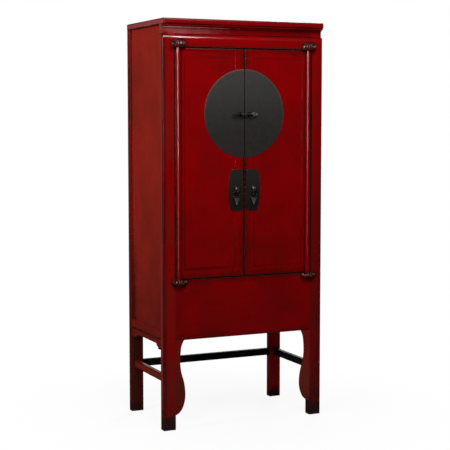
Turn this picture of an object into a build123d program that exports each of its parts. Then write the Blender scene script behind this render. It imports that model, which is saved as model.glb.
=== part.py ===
from build123d import *
import os

os.makedirs("parts", exist_ok=True)

# A lacquered wedding cabinet, in millimetres. X runs across the front, Y from the front to the back and
# Z up from the floor. The origin is on the floor, in the middle of the cabinet's footprint.

# Carcass
body_width = 800.0
body_depth = 450.0
joint_play = 0.1  # gap round each tenon, tongue and panel edge
tenon_depth = 18.0
tongue_depth = 8.0
tenon_share = 1 / 3  # thickness of a tenon in that of its member
head_share = 0.6  # width of a post's head tenon in that of the post

# Heights of the front, from the floor up
leg_opening = 409.0
apron_height = 273.0
door_gap = 5.0  # between a door leaf and the rail above it or the apron below it
leaf_height = 1030.0
top_rail_height = 58.0
neck_height = 38.0
top_board_thickness = 27.0

# Posts
front_post_width = 57.0
front_post_depth = 40.0
rear_post_width = 58.0
rear_post_depth = 36.0
post_edge_radius = 3.0

# Head of the cabinet
board_overhang = 12.0
board_nose_radius = 9.0
board_edge_bevel = 2.0
neck_recess = 14.5
frieze_thickness = 14.5
cove_height = 12.0
cove_depth = 21.0
cove_land = 4.0  # flat nose above the hollow of the cove
cove_toe = 2.0  # width of its lower edge
shoulder_radius = 6.0
top_rail_thickness = 30.0
head_tenon_height = 12.0
head_tenon_thickness = 12.0

# Apron and the shaped wings beside the front legs. Widths of a wing are measured from the cabinet's side and
# drops from the underside of the apron.
apron_thickness = 20.0
wing_head_width = 99.0
wing_shoulder_width = 83.5
wing_shoulder_drop = 39.0
wing_waist_width = 79.5
wing_waist_drop = 97.0
wing_hip_width = 91.0
wing_hip_drop = 169.0
wing_belly_width = 104.0
wing_belly_drop = 254.0
wing_heel_width = 89.0
wing_heel_drop = 314.0
wing_toe_drop = 342.0

# Sides
side_rail_height = 38.0
side_rail_thickness = 22.0
side_panel_recess = 10.0
side_panel_thickness = 10.0
side_apron_height = 24.0
side_apron_recess = 3.0
side_apron_thickness = 14.0
bracket_length = 60.0
bracket_step = 11.0  # width and height of each of the bracket's two steps
batten_height = 30.0
batten_thickness = 22.0

# Stretchers between the legs
stretcher_bottom = 213.0
stretcher_height = 34.0
stretcher_thickness = 22.0
stretcher_inset = 16.0
stretcher_edge_bevel = 2.0

# Back
back_rail_height = 56.0
back_rail_thickness = 24.0
back_panel_thickness = 8.0

# Inside
shelf_thickness = 16.0
shelf_play = 0.5
shelf_setback = 63.0  # front edges of the shelves, behind the front of the cabinet
cleat_height = 20.0
cleat_thickness = 18.0
deck_drop = 2.0  # top of the deck, below the top of the apron
drawer_shelf_rise = 463.0  # top of the shelf under the drawers, above the lower edge of the doors
hatch_width = 280.0
hatch_depth = 180.0
hatch_setback = 130.0
hatch_play = 1.5
hatch_batten_thickness = 14.0
hatch_batten_width = 30.0
finger_hole_diameter = 24.0
stop_length = 590.0
stop_height = 20.0
stop_thickness = 14.0
stop_clearance = 0.5

# Door leaves
post_gap = 3.0
meeting_gap = 4.0
leaf_recess = 2.0
leaf_thickness = 20.0
stile_width = 45.0
door_rail_width = 40.0
door_panel_thickness = 12.0
door_tongue_thickness = 6.0
door_batten_width = 36.0
door_batten_count = 2
leaf_edge_radius = 1.5

# Pivot poles and the carved blocks that hold them
pole_inset = 73.5
pole_forward = 2.5
pole_diameter = 20.0
pivot_diameter = 12.0
pivot_length = 18.0
pivot_clearance = 0.05
pole_end_gap = 0.3
block_width = 72.0
block_height = 40.0
block_projection = 24.0
block_shoulder = 28.0  # height of a block's two ends, below its arched crown
block_nose = 14.0  # height of its upright front face
block_brow = 7.0  # how much the curve above that face cuts from the square corner
block_gap = 3.0  # from a block to the door leaf beside it
block_lobes = 5
block_lobe_bulge = 3.0
block_lobe_fall = 9.0  # how far the outer lobes stand back from the middle one
block_tenon_width = 30.0
block_tenon_depth = 12.0

# Round plate, lock eyes and lock pin. A rise is measured from the lower edge of the door leaf.
plate_thickness = 2.0
moon_diameter = 400.0
moon_rise = 740.0
rim_bevel = 0.8
lock_rise = 736.0
eye_spacing = 46.0
eye_width = 6.0
eye_diameter = 16.0
eye_neck_width = 9.0
shank_diameter = 5.0
shank_length = 16.0
pin_forward = 14.0
pin_diameter = 8.0
pin_clearance = 0.3
pin_reach = 70.0  # from the middle of the cabinet to the tip
pin_tip_length = 12.0
pin_tip_diameter = 4.0
pin_collar_diameter = 12.0
pin_collar_length = 3.0
pin_collar_gap = 1.5
pin_head_length = 31.0
pin_head_thickness = 5.0
pin_ring_diameter = 20.0
pin_ring_hole = 8.0
pin_ring_overlap = 1.0  # how deep the ring is rooted in the collar
pin_bud_diameter = 13.0

# Handle plates, and the bosses and drops of the door pulls
handle_inner_edge = 8.0
handle_outer_edge = 81.0
handle_corner_edge = 67.0
handle_top_rise = 488.0
handle_bottom_rise = 296.0
handle_corner_radius = 9.0
boss_offset = 43.0
boss_rise = 400.5
boss_flange_diameter = 22.0
boss_flange_thickness = 2.5
boss_dome_diameter = 17.0
boss_crown_diameter = 11.0
boss_crown_height = 2.5
pull_length = 77.0
pull_thickness = 5.0
pull_neck_width = 6.4
pull_knuckle_diameter = 9.0
pull_side_gap = 0.3
pull_pin_diameter = 3.0
pull_pin_clearance = 0.05
loop_start = 9.5
loop_width = 17.0
loop_height = 26.0
loop_wall = 4.2
bow_width = 38.0
bow_height = 11.0
drop_width = 32.0
drop_waist = 5.0
drop_side_radius = 60.0
drop_tip_diameter = 9.0

# Drawers
drawer_edge_inset = 107.0  # outer edge of a drawer, from the cabinet's side
drawer_setback = 78.0  # drawer fronts, behind the front of the cabinet
drawer_height = 116.0
drawer_depth = 320.0
drawer_play = 1.0
drawer_top_play = 4.0
drawer_floor_gap = 0.3
partition_thickness = 16.0
drawer_front_thickness = 16.0
drawer_side_thickness = 10.0
drawer_bottom_thickness = 6.0
drawer_bottom_rise = 6.0
drawer_groove = 4.0
dovetail_count = 3
dovetail_depth = 10.0
dovetail_narrow = 14.0
dovetail_wide = 20.0
knob_diameter = 20.0
knob_projection = 16.0
knob_stem_diameter = 9.0
knob_neck_length = 8.0
knob_spigot_length = 10.0

# Planes that the pieces share
left = -body_width / 2
front = -(body_depth - block_projection) / 2
back = front + body_depth
apron_top = leg_opening + apron_height
leaf_bottom = apron_top + door_gap
leaf_top = leaf_bottom + leaf_height
rail_bottom = leaf_top + door_gap
rail_top = rail_bottom + top_rail_height
board_bottom = rail_top + neck_height
board_top = board_bottom + top_board_thickness
front_post_inner = left + front_post_width
front_post_back = front + front_post_depth
rear_post_inner = left + rear_post_width
rear_post_front = back - rear_post_depth
frieze_front = front + neck_recess
frieze_back = frieze_front + frieze_thickness
panel_outer = left + side_panel_recess
panel_inner = panel_outer + side_panel_thickness
side_rail_inner = left + side_rail_thickness
side_rail_top = leg_opening + side_rail_height
apron_back = front + apron_thickness
back_rail_front = back - back_rail_thickness
back_panel_middle = back - back_rail_thickness / 2
back_panel_front = back_panel_middle - back_panel_thickness / 2
leaf_front = front + leaf_recess
leaf_back = leaf_front + leaf_thickness
leaf_outer = front_post_inner + post_gap
leaf_inner = -meeting_gap / 2
plate_front = leaf_front - plate_thickness
moon_height = leaf_bottom + moon_rise
lock_height = leaf_bottom + lock_rise
handle_top = leaf_bottom + handle_top_rise
handle_bottom = leaf_bottom + handle_bottom_rise
boss_height = leaf_bottom + boss_rise
pole_x = left + pole_inset
pole_y = front - pole_forward
upper_block_bottom = leaf_top + block_gap
lower_block_top = leaf_bottom - block_gap
drawer_front = front + drawer_setback
drawer_outer = left + drawer_edge_inset
drawer_inner = -partition_thickness / 2 - drawer_play
shelf_front = front + shelf_setback
deck_height = apron_top - deck_drop
drawer_shelf_height = leaf_bottom + drawer_shelf_rise
drawer_floor = drawer_shelf_height + drawer_floor_gap
upper_shelf_bottom = drawer_shelf_height + drawer_height + drawer_top_play


# Shared shapes


def box(x, y, z, play=0.0):
    # A block between two X, two Y and two Z coordinates, grown by the play on every side
    spans = (x, y, z)
    size = [high - low + 2 * play for low, high in spans]
    middle = [(low + high) / 2 for low, high in spans]
    return Pos(*middle) * Box(*size)


def grown(solid, play=joint_play):
    # The same block with play on every side, to cut the mortise or groove that takes it
    bounds = solid.bounding_box()
    low, high = bounds.min, bounds.max
    return box((low.X, high.X), (low.Y, high.Y), (low.Z, high.Z), play)


def across(x):
    # From a left-hand X to the same place on the right
    return (x, -x)


def centred(span, width):
    # A span of the given width in the middle of another one
    middle = (span[0] + span[1]) / 2
    return (middle - width / 2, middle + width / 2)


def rod(start, direction, diameter, length):
    # A round bar from a start point along a direction
    return extrude(Plane(origin=start, z_dir=direction) * Circle(diameter / 2), amount=length)


def mirrored(shape):
    # The right-hand twin of a left-hand piece
    return mirror(shape, about=Plane.YZ)


def with_twins(shape, *tenons):
    # A piece that crosses the cabinet, with the same tenons at both ends
    for tenon in tenons:
        shape = shape + tenon + mirrored(tenon)
    return shape


def without_twins(shape, *cuts):
    # A piece that crosses the cabinet, with the same cuts at both ends
    for cut in cuts:
        shape = shape - cut - mirrored(cut)
    return shape


def save(node, *shapes):
    solids = [solid for shape in shapes for solid in shape.solids()]
    export_step(Compound(children=solids) if len(solids) > 1 else solids[0], f"parts/{node}.step")


def save_pair(node, *shapes):
    # A left-hand node and its right-hand twin
    save(node.format("left"), *shapes)
    save(node.format("right"), *[mirrored(shape) for shape in shapes])


# Joints: each tenon or tongue is fused to its own piece, and cut from its host with play


def top_rail_tenon():
    y = centred((front, front + top_rail_thickness), top_rail_thickness * tenon_share)
    z = centred((rail_bottom, rail_top), top_rail_height / 2)
    return box((front_post_inner - tenon_depth, front_post_inner), y, z)


def frieze_tongue():
    y = centred((frieze_front, frieze_back), frieze_thickness * tenon_share)
    return box((front_post_inner - tongue_depth, front_post_inner), y, (rail_top, board_bottom))


def apron_tongue():
    y = centred((front, apron_back), apron_thickness * tenon_share)
    z = centred((leg_opening, apron_top), apron_height * 0.9)
    return box((front_post_inner - tongue_depth, front_post_inner), y, z)


def wing_tongue():
    y = centred((front, apron_back), apron_thickness * tenon_share)
    z = (leg_opening - wing_heel_drop, leg_opening - wing_shoulder_drop)
    return box((front_post_inner - tongue_depth, front_post_inner), y, z)


def post_tenons(x, z):
    # The two ends of a member that runs along the side, between the front and the rear post
    fore = box(x, (front_post_back - tenon_depth, front_post_back), z)
    aft = box(x, (rear_post_front, rear_post_front + tenon_depth), z)
    return fore, aft


def side_rail_tenons():
    x = centred((left, side_rail_inner), side_rail_thickness * tenon_share)
    z = centred((leg_opening, side_rail_top - tongue_depth), side_rail_height / 2)
    return post_tenons(x, z)


def stretcher_tenons():
    x = centred(side_stretcher_x(), stretcher_thickness / 2)
    return post_tenons(x, centred(stretcher_z(), stretcher_height * 2 / 3))


def rear_stretcher_tenon():
    y = centred((rear_post_front, back), stretcher_thickness / 2)
    z = centred(stretcher_z(), stretcher_height * 2 / 3)
    return box((rear_post_inner - tenon_depth, rear_post_inner), y, z)


def back_rail_tenon(z):
    y = centred((back_rail_front, back), back_rail_thickness * tenon_share)
    return box((rear_post_inner - tenon_depth, rear_post_inner), y, centred(z, back_rail_height / 2))


def head_tenons():
    # Heads of the left posts, which enter the top board
    z = (board_bottom, board_bottom + head_tenon_height)
    fore_x = centred((left, front_post_inner), front_post_width * head_share)
    aft_x = centred((left, rear_post_inner), rear_post_width * head_share)
    fore = box(fore_x, centred((frieze_front, front_post_back), head_tenon_thickness), z)
    aft = box(aft_x, centred((rear_post_front, back), head_tenon_thickness), z)
    return fore, aft


def block_tenon(z):
    # Back of a pivot block, let into the rail or the apron behind it
    x = centred((pole_x, pole_x), block_tenon_width)
    return box(x, (front, front + block_tenon_depth), z)


def upper_block_z():
    return (upper_block_bottom, upper_block_bottom + block_shoulder)


def lower_block_z():
    return (lower_block_top - block_shoulder, lower_block_top)


def side_stretcher_x():
    return (left + stretcher_inset, left + stretcher_inset + stretcher_thickness)


def stretcher_z():
    return (stretcher_bottom, stretcher_bottom + stretcher_height)


def top_back_rail_z():
    return (board_bottom - back_rail_height, board_bottom)


def bottom_back_rail_z():
    return (leg_opening, leg_opening + back_rail_height)


def left_side_panel():
    # Floats in grooves in the two posts and the bottom rail, and reaches up to the top board
    y = (front_post_back - tongue_depth, rear_post_front + tongue_depth)
    return box((panel_outer, panel_inner), y, (side_rail_top - tongue_depth, board_bottom))


def back_panel():
    x = across(rear_post_inner - tongue_depth)
    y = centred((back_panel_middle, back_panel_middle), back_panel_thickness)
    low = bottom_back_rail_z()[1] - tongue_depth
    high = top_back_rail_z()[0] + tongue_depth
    return box(x, y, (low, high))


# Posts


def front_post_block():
    return box((left, front_post_inner), (front, front_post_back), (0, board_bottom))


def rear_post_block():
    return box((left, rear_post_inner), (rear_post_front, back), (0, board_bottom))


def front_left_post():
    post = front_post_block()
    post = fillet(post.edges().filter_by(Axis.Z).group_by(Axis.X)[0], post_edge_radius)
    post -= box((left, front_post_inner), (front, frieze_front), (rail_top, board_bottom))
    shoulder = post.edges().filter_by(Axis.X).group_by(Axis.Y)[0].sort_by(Axis.Z)[-1]
    post = fillet(shoulder, shoulder_radius)
    mortises = [top_rail_tenon(), frieze_tongue(), apron_tongue(), wing_tongue(), left_side_panel()]
    mortises += [side_rail_tenons()[0], stretcher_tenons()[0]]
    for tenon in mortises:
        post -= grown(tenon)
    return post + head_tenons()[0]


def rear_left_post():
    post = rear_post_block()
    post = fillet(post.edges().filter_by(Axis.Z).group_by(Axis.X)[0], post_edge_radius)
    mortises = [back_rail_tenon(top_back_rail_z()), back_rail_tenon(bottom_back_rail_z())]
    mortises += [rear_stretcher_tenon(), left_side_panel(), back_panel()]
    mortises += [side_rail_tenons()[1], stretcher_tenons()[1]]
    for tenon in mortises:
        post -= grown(tenon)
    return post + head_tenons()[1]


# Head


def top_board():
    board = box(across(left), (front - board_overhang, back), (board_bottom, board_top))
    nose = board.faces().sort_by(Axis.Y)[0].edges().filter_by(Axis.X)
    board = fillet(nose, board_nose_radius)
    ends = board.faces().sort_by(Axis.Z)[-1].edges().filter_by(Axis.Y)
    board = chamfer(ends, board_edge_bevel)
    return without_twins(board, *[grown(tenon) for tenon in head_tenons()])


def cove_moulding():
    # Hollow moulding between the neck and the nose of the top board
    low, high = board_bottom - cove_height, board_bottom
    rear = frieze_front
    toe, nose = rear - cove_toe, rear - cove_depth
    with BuildSketch(Plane.YZ) as section:
        with BuildLine():
            Polyline((toe, low), (rear, low), (rear, high), (nose, high), (nose, high - cove_land))
            RadiusArc((nose, high - cove_land), (toe, low), cove_depth)
        make_face()
    return extrude(section.sketch, amount=body_width / 2, both=True)


def neck_frieze():
    frieze = box(across(front_post_inner), (frieze_front, frieze_back), (rail_top, board_bottom))
    return with_twins(frieze, frieze_tongue())


def front_top_rail():
    rail = box(across(front_post_inner), (front, front + top_rail_thickness), (rail_bottom, rail_top))
    upper_edge = rail.edges().filter_by(Axis.X).group_by(Axis.Y)[0].sort_by(Axis.Z)[-1]
    rail = fillet(upper_edge, shoulder_radius)
    rail = with_twins(rail, top_rail_tenon())
    return without_twins(rail, grown(block_tenon(upper_block_z())))


def left_top_batten():
    x = (panel_inner, panel_inner + batten_thickness)
    return box(x, (front_post_back, rear_post_front), (board_bottom - batten_height, board_bottom))


# Front below the doors


def front_apron():
    apron = box(across(front_post_inner), (front, apron_back), (leg_opening, apron_top))
    apron = with_twins(apron, apron_tongue())
    return without_twins(apron, grown(block_tenon(lower_block_z())))


def tangent_run(direction, *points):
    # Arcs through the points, each one tangent to the one before it
    for start, end in zip(points, points[1:]):
        arc = TangentArc(start, end, tangent=direction)
        direction = arc % 1


def front_left_spandrel():
    # Flat shaped board in one plane with the apron: narrow waist, full belly and turned-in toe. The edge is
    # upright at the waist, and runs from there up to the head and down to the toe.
    head = (left + wing_head_width, leg_opening)
    shoulder = (left + wing_shoulder_width, leg_opening - wing_shoulder_drop)
    waist = (left + wing_waist_width, leg_opening - wing_waist_drop)
    hip = (left + wing_hip_width, leg_opening - wing_hip_drop)
    belly = (left + wing_belly_width, leg_opening - wing_belly_drop)
    heel = (left + wing_heel_width, leg_opening - wing_heel_drop)
    toe = (front_post_inner, leg_opening - wing_toe_drop)
    with BuildSketch(Plane.XZ.offset(-front)) as outline:
        with BuildLine():
            Polyline(toe, (front_post_inner, leg_opening), head)
            tangent_run((0, 1), waist, shoulder, head)
            tangent_run((0, -1), waist, hip, belly, heel, toe)
        make_face()
    return extrude(outline.sketch, amount=-apron_thickness) + wing_tongue()


# Sides


def left_bottom_rail():
    rail = box((left, side_rail_inner), (front_post_back, rear_post_front), (leg_opening, side_rail_top))
    for tenon in side_rail_tenons():
        rail += tenon
    return rail - grown(left_side_panel())


def left_side_apron():
    # Strip under the bottom rail, with a small stepped bracket against each post
    low = leg_opening - side_apron_height
    tip, mid = low - 2 * bracket_step, low - bracket_step
    start = front_post_back
    middle = (front_post_back + rear_post_front) / 2
    outer = start + bracket_length
    inner = outer - 2 * bracket_step
    with BuildSketch(Plane.YZ.offset(left + side_apron_recess)) as half:
        with BuildLine():
            Polyline((outer, low), (middle, low), (middle, leg_opening), (start, leg_opening), (start, tip))
            Line((start, tip), (inner, tip))
            RadiusArc((inner, tip), (inner + bracket_step, mid), bracket_step)
            RadiusArc((inner + bracket_step, mid), (outer, low), -bracket_step)
        make_face()
    fore = extrude(half.sketch, amount=side_apron_thickness)
    return fore + mirror(fore, about=Plane.XZ.offset(-middle))


def left_stretcher():
    rail = box(side_stretcher_x(), (front_post_back, rear_post_front), stretcher_z())
    rail = chamfer(rail.edges().filter_by(Axis.Y), stretcher_edge_bevel)
    for tenon in stretcher_tenons():
        rail += tenon
    return rail


def rear_stretcher():
    y = centred((rear_post_front, back), stretcher_thickness)
    rail = box(across(rear_post_inner), y, stretcher_z())
    rail = chamfer(rail.edges().filter_by(Axis.X), stretcher_edge_bevel)
    return with_twins(rail, rear_stretcher_tenon())


# Back


def back_rail(z):
    rail = box(across(rear_post_inner), (back_rail_front, back), z)
    rail = with_twins(rail, back_rail_tenon(z))
    return rail - grown(back_panel())


# Inside


def level(top, side, fore, aft):
    # A board that fills the inside of the cabinet and is notched round the posts
    board = box(across(side + shelf_play), (fore, aft), (top - shelf_thickness, top))
    return without_twins(board, grown(front_post_block(), shelf_play), grown(rear_post_block(), shelf_play))


def compartment_floor():
    return level(side_rail_top, side_rail_inner, apron_back + shelf_play, back_rail_front - shelf_play)


def hatch_y():
    return (front + hatch_setback, front + hatch_setback + hatch_depth)


def hatch_x():
    return (-hatch_width / 2, hatch_width / 2)


def deck():
    board = level(deck_height, panel_inner, apron_back + shelf_play, back_panel_front - shelf_play)
    return board - box(hatch_x(), hatch_y(), (deck_height - shelf_thickness, deck_height))


def hatch_batten(y):
    # Ledger under the edge of the hatch, half under the deck and half under the lid
    low = deck_height - shelf_thickness - hatch_batten_thickness
    x = (hatch_x()[0] - hatch_batten_width, hatch_x()[1] + hatch_batten_width)
    return box(x, centred((y, y), hatch_batten_width), (low, deck_height - shelf_thickness))


def compartment_lid():
    x = (hatch_x()[0] + hatch_play, hatch_x()[1] - hatch_play)
    y = (hatch_y()[0] + hatch_play, hatch_y()[1] - hatch_play)
    low = deck_height - shelf_thickness
    finger_hole = rod((0, (y[0] + y[1]) / 2, low), (0, 0, 1), finger_hole_diameter, shelf_thickness)
    return box(x, y, (low, deck_height)) - finger_hole


def shelf(top):
    return level(top, panel_inner, shelf_front, back_panel_front - shelf_play)


def left_cleat(side, top):
    # Ledger between the posts that carries one end of a shelf
    z = (top - shelf_thickness - cleat_height, top - shelf_thickness)
    return box((side, side + cleat_thickness), (front_post_back, rear_post_front), z)


def drawer_partition(x):
    return box(x, (drawer_front, rear_post_front), (drawer_shelf_height, upper_shelf_bottom))


def door_stop(z):
    fore = leaf_back + stop_clearance
    return box((-stop_length / 2, stop_length / 2), (fore, fore + stop_thickness), z)


# Pivot blocks


def pivot_block():
    # Carved block of upright lobes under an arched crown. The face with the socket lies on the XY plane
    # and the pole's axis is the Z axis.
    rear = pole_forward
    nose = rear - block_projection
    half = block_width / 2
    lobe_width = block_width / block_lobes
    valleys = [-half + lobe_width * index for index in range(block_lobes + 1)]
    valleys = [(x, nose + block_lobe_bulge + block_lobe_fall * (x / half) ** 2) for x in valleys]
    lobe_radius = lobe_width**2 / (8 * block_lobe_bulge) + block_lobe_bulge / 2
    with BuildSketch() as plan:
        with BuildLine():
            Polyline(valleys[-1], (half, rear), (-half, rear), valleys[0])
            for start, end in zip(valleys, valleys[1:]):
                RadiusArc(start, end, -lobe_radius)
        make_face()
    with BuildSketch(Plane.XZ.offset(-rear)) as crown:
        with BuildLine():
            Polyline((-half, block_shoulder), (-half, 0), (half, 0), (half, block_shoulder))
            ThreePointArc((half, block_shoulder), (0, block_height), (-half, block_shoulder))
        make_face()
    with BuildSketch(Plane.YZ.offset(-half)) as side:
        with BuildLine():
            Polyline((nose, block_nose), (nose, 0), (rear, 0), (rear, block_height))
            brow = (nose + block_brow, block_height - block_brow)
            ThreePointArc((rear, block_height), brow, (nose, block_nose))
        make_face()
    block = extrude(plan.sketch, amount=block_height)
    block &= extrude(crown.sketch, amount=block_projection)
    block &= extrude(side.sketch, amount=block_width)
    tenon_x = (-block_tenon_width / 2, block_tenon_width / 2)
    tenon = box(tenon_x, (rear, rear + block_tenon_depth), (0, block_shoulder))
    socket = rod((0, 0, 0), (0, 0, 1), pivot_diameter + 2 * pivot_clearance, pivot_length)
    return block + tenon - socket


def upper_left_pivot_block():
    return Pos(pole_x, pole_y, upper_block_bottom) * pivot_block()


def lower_left_pivot_block():
    return Pos(pole_x, pole_y, lower_block_top) * mirror(pivot_block(), about=Plane.XY)


# Left door


def left_pivot_pole():
    low, high = lower_block_top + pole_end_gap, upper_block_bottom - pole_end_gap
    pole = rod((pole_x, pole_y, low), (0, 0, 1), pole_diameter, high - low)
    pole += rod((pole_x, pole_y, high), (0, 0, 1), pivot_diameter, pivot_length)
    return pole + rod((pole_x, pole_y, low), (0, 0, -1), pivot_diameter, pivot_length)


def stile(x):
    shape = box(x, (leaf_front, leaf_back), (leaf_bottom, leaf_top))
    return fillet(shape.edges().filter_by(Axis.Z).group_by(Axis.Y)[0], leaf_edge_radius)


def outer_stile_x():
    return (leaf_outer, leaf_outer + stile_width)


def meeting_stile_x():
    return (leaf_inner - stile_width, leaf_inner)


def door_tenons(z):
    # Ends of a door rail inside the two stiles
    y = centred((leaf_front, leaf_back), leaf_thickness * tenon_share)
    z = centred(z, (z[1] - z[0]) / 2)
    outer, inner = outer_stile_x()[1], meeting_stile_x()[0]
    return box((outer - tenon_depth, outer), y, z), box((inner, inner + tenon_depth), y, z)


def door_rail(z):
    rail = box((outer_stile_x()[1], meeting_stile_x()[0]), (leaf_front, leaf_back), z)
    for tenon in door_tenons(z):
        rail += tenon
    return rail - grown(door_panel_tongue())


def door_rail_spans():
    return [(leaf_bottom, leaf_bottom + door_rail_width), (leaf_top - door_rail_width, leaf_top)]


def door_panel_tongue():
    # Thin edge of the panel, which enters the grooves of the frame
    x = (outer_stile_x()[1] - tongue_depth, meeting_stile_x()[0] + tongue_depth)
    panel_back = leaf_front + door_panel_thickness
    y = (panel_back - door_tongue_thickness, panel_back)
    lower, upper = door_rail_spans()
    return box(x, y, (lower[1] - tongue_depth, upper[0] + tongue_depth))


def left_door_panel():
    lower, upper = door_rail_spans()
    x = (outer_stile_x()[1], meeting_stile_x()[0])
    field = box(x, (leaf_front, leaf_front + door_panel_thickness), (lower[1], upper[0]), -joint_play)
    return field + door_panel_tongue() - shank((-boss_offset, boss_height), joint_play)


def door_batten(z):
    # Bar behind the panel, tongued into the stiles
    y = (leaf_front + door_panel_thickness, leaf_back)
    x = (outer_stile_x()[1], meeting_stile_x()[0])
    tongue = box((x[0] - tongue_depth, x[1] + tongue_depth), centred(y, (y[1] - y[0]) / 2), z)
    return box(x, y, z), tongue


def door_batten_spans():
    spacing = leaf_height / (door_batten_count + 1)
    middles = [leaf_bottom + spacing * (index + 1) for index in range(door_batten_count)]
    return [centred((middle, middle), door_batten_width) for middle in middles]


def left_door_frame():
    outer, meeting = stile(outer_stile_x()), stile(meeting_stile_x())
    outer -= rod((pole_x, pole_y, leaf_bottom), (0, 0, 1), pole_diameter + 2 * joint_play, leaf_height)
    rails = [door_rail(z) for z in door_rail_spans()]
    sockets = [grown(tenon) for z in door_rail_spans() for tenon in door_tenons(z)]
    sockets.append(grown(door_panel_tongue()))
    battens = []
    for z in door_batten_spans():
        bar, tongue = door_batten(z)
        battens.append(bar + tongue)
        sockets.append(grown(tongue))
    for socket in sockets:
        outer -= socket
        meeting -= socket
    for x, z in ((-eye_spacing / 2, lock_height), (-boss_offset, boss_height)):
        meeting -= rod((x, leaf_front, z), (0, 1, 0), shank_diameter + 2 * joint_play, shank_length)
    return [outer, meeting, *rails, *battens]


# Metalwork of the left door


def left_moon_plate():
    # Half of the round plate, with a bevelled rim
    with BuildSketch(Plane.XZ.offset(-leaf_front)) as outline:
        with Locations((0, moon_height)):
            Circle(moon_diameter / 2)
            with Locations((moon_diameter / 2 + leaf_inner, 0)):
                Rectangle(moon_diameter, 2 * moon_diameter, mode=Mode.SUBTRACT)
    plate = extrude(outline.sketch, amount=plate_thickness)
    rim = plate.faces().sort_by(Axis.Y)[0].edges().filter_by(GeomType.CIRCLE)
    plate = chamfer(rim, rim_bevel)
    return plate - shank((-eye_spacing / 2, lock_height), joint_play)


def shank(place, play=0.0):
    # Shank of an eye or a boss, from the face of its plate into the stile
    x, z = place
    length = plate_thickness + shank_length - 2 * joint_play
    return rod((x, plate_front - play, z), (0, 1, 0), shank_diameter + 2 * play, length + 2 * play)


def left_lock_eye():
    axis_y = front - pin_forward
    neck = (axis_y + plate_front) / 2
    with BuildSketch(Plane.YZ) as outline:
        with Locations((axis_y, lock_height)):
            Circle(eye_diameter / 2)
        with Locations((neck, lock_height)):
            Rectangle(plate_front - axis_y, eye_neck_width)
        with Locations((axis_y, lock_height)):
            Circle(pin_diameter / 2 + pin_clearance, mode=Mode.SUBTRACT)
    eye = Pos(-eye_spacing / 2, 0, 0) * extrude(outline.sketch, amount=eye_width / 2, both=True)
    return eye + shank((-eye_spacing / 2, lock_height))


def left_handle_plate():
    # Straight towards the meeting edge, barrel-shaped on the other side
    inner, corner, bulge = -handle_inner_edge, -handle_corner_edge, -handle_outer_edge
    low, high = handle_bottom, handle_top
    with BuildSketch(Plane.XZ.offset(-leaf_front)) as outline:
        with BuildLine():
            Polyline((corner, low), (inner, low), (inner, high), (corner, high))
            ThreePointArc((corner, high), (bulge, (low + high) / 2), (corner, low))
        make_face()
        fillet(outline.vertices(), handle_corner_radius)
    plate = extrude(outline.sketch, amount=plate_thickness)
    plate = chamfer(plate.faces().sort_by(Axis.Y)[0].edges(), rim_bevel)
    return plate - shank((-boss_offset, boss_height), joint_play)


def pull_axis():
    return (-boss_offset, plate_front - boss_dome_diameter / 2 - boss_flange_thickness / 2, boss_height)


def left_pull_boss():
    # Turned and stepped boss on a round flange, split below to take the neck of the pull on a cross pin
    x, y, z = pull_axis()
    with BuildSketch(Plane.XY) as half:
        with BuildLine():
            reach = plate_front - y
            radius = boss_dome_diameter / 2
            Polyline((0, -radius), (0, reach), (boss_flange_diameter / 2, reach))
            Polyline(
                (boss_flange_diameter / 2, reach),
                (boss_flange_diameter / 2, reach - boss_flange_thickness),
                (radius, reach - boss_flange_thickness),
                (radius, boss_crown_height - radius),
                (boss_crown_diameter / 2, boss_crown_height - radius),
                (boss_crown_diameter / 2, -radius),
                (0, -radius),
            )
        make_face()
    boss = Pos(x, y, z) * revolve(half.sketch, Axis.Y)
    slot_x = centred((x, x), pull_neck_width + 2 * pull_side_gap)
    slot_y = (y - boss_dome_diameter, plate_front - boss_flange_thickness / 2)
    roof = z + pull_knuckle_diameter / 2 + pull_side_gap
    boss -= box(slot_x, slot_y, (z - boss_dome_diameter, roof))
    pin = rod((x - boss_dome_diameter / 3, y, z), (1, 0, 0), pull_pin_diameter, boss_dome_diameter * 2 / 3)
    return boss + pin + shank((x, z))


# Drop pull of the left door


def left_pull():
    # Knuckle and neck, two open loops, a bow and a tapering drop, all cast in one
    half_neck, half_thickness = pull_neck_width / 2, pull_thickness / 2
    with BuildSketch(Plane.XZ.offset(-half_thickness)) as face:
        for side in (-1, 1):
            place = (side * (loop_width / 2 - loop_wall / 4), -loop_start - loop_height / 2)
            with Locations(place):
                Ellipse(loop_width / 2, loop_height / 2)
        for side in (-1, 1):
            place = (side * (loop_width / 2 - loop_wall / 4), -loop_start - loop_height / 2)
            with Locations(place):
                Ellipse(loop_width / 2 - loop_wall, loop_height / 2 - loop_wall, mode=Mode.SUBTRACT)
        bow = -loop_start - loop_height - bow_height / 4
        with Locations((0, bow)):
            Ellipse(bow_width / 2, bow_height / 2)
        tip = -pull_length + drop_tip_diameter / 2
        with Locations((0, tip)):
            Circle(drop_tip_diameter / 2)
        with BuildLine():
            Line((-drop_width / 2, bow), (drop_width / 2, bow))
            RadiusArc((drop_width / 2, bow), (drop_waist / 2, tip), drop_side_radius)
            Line((drop_waist / 2, tip), (-drop_waist / 2, tip))
            RadiusArc((-drop_waist / 2, tip), (-drop_width / 2, bow), drop_side_radius)
        make_face()
    pull = extrude(face.sketch, amount=pull_thickness)
    pull += box((-half_neck, half_neck), (-half_thickness, half_thickness), (-loop_start - loop_wall, 0))
    pull += rod((-half_neck, 0, 0), (1, 0, 0), pull_knuckle_diameter, pull_neck_width)
    bore = pull_pin_diameter + 2 * pull_pin_clearance
    pull -= rod((-pull_neck_width, 0, 0), (1, 0, 0), bore, 2 * pull_neck_width)
    return Pos(*pull_axis()) * pull


# Lock pin


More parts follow.
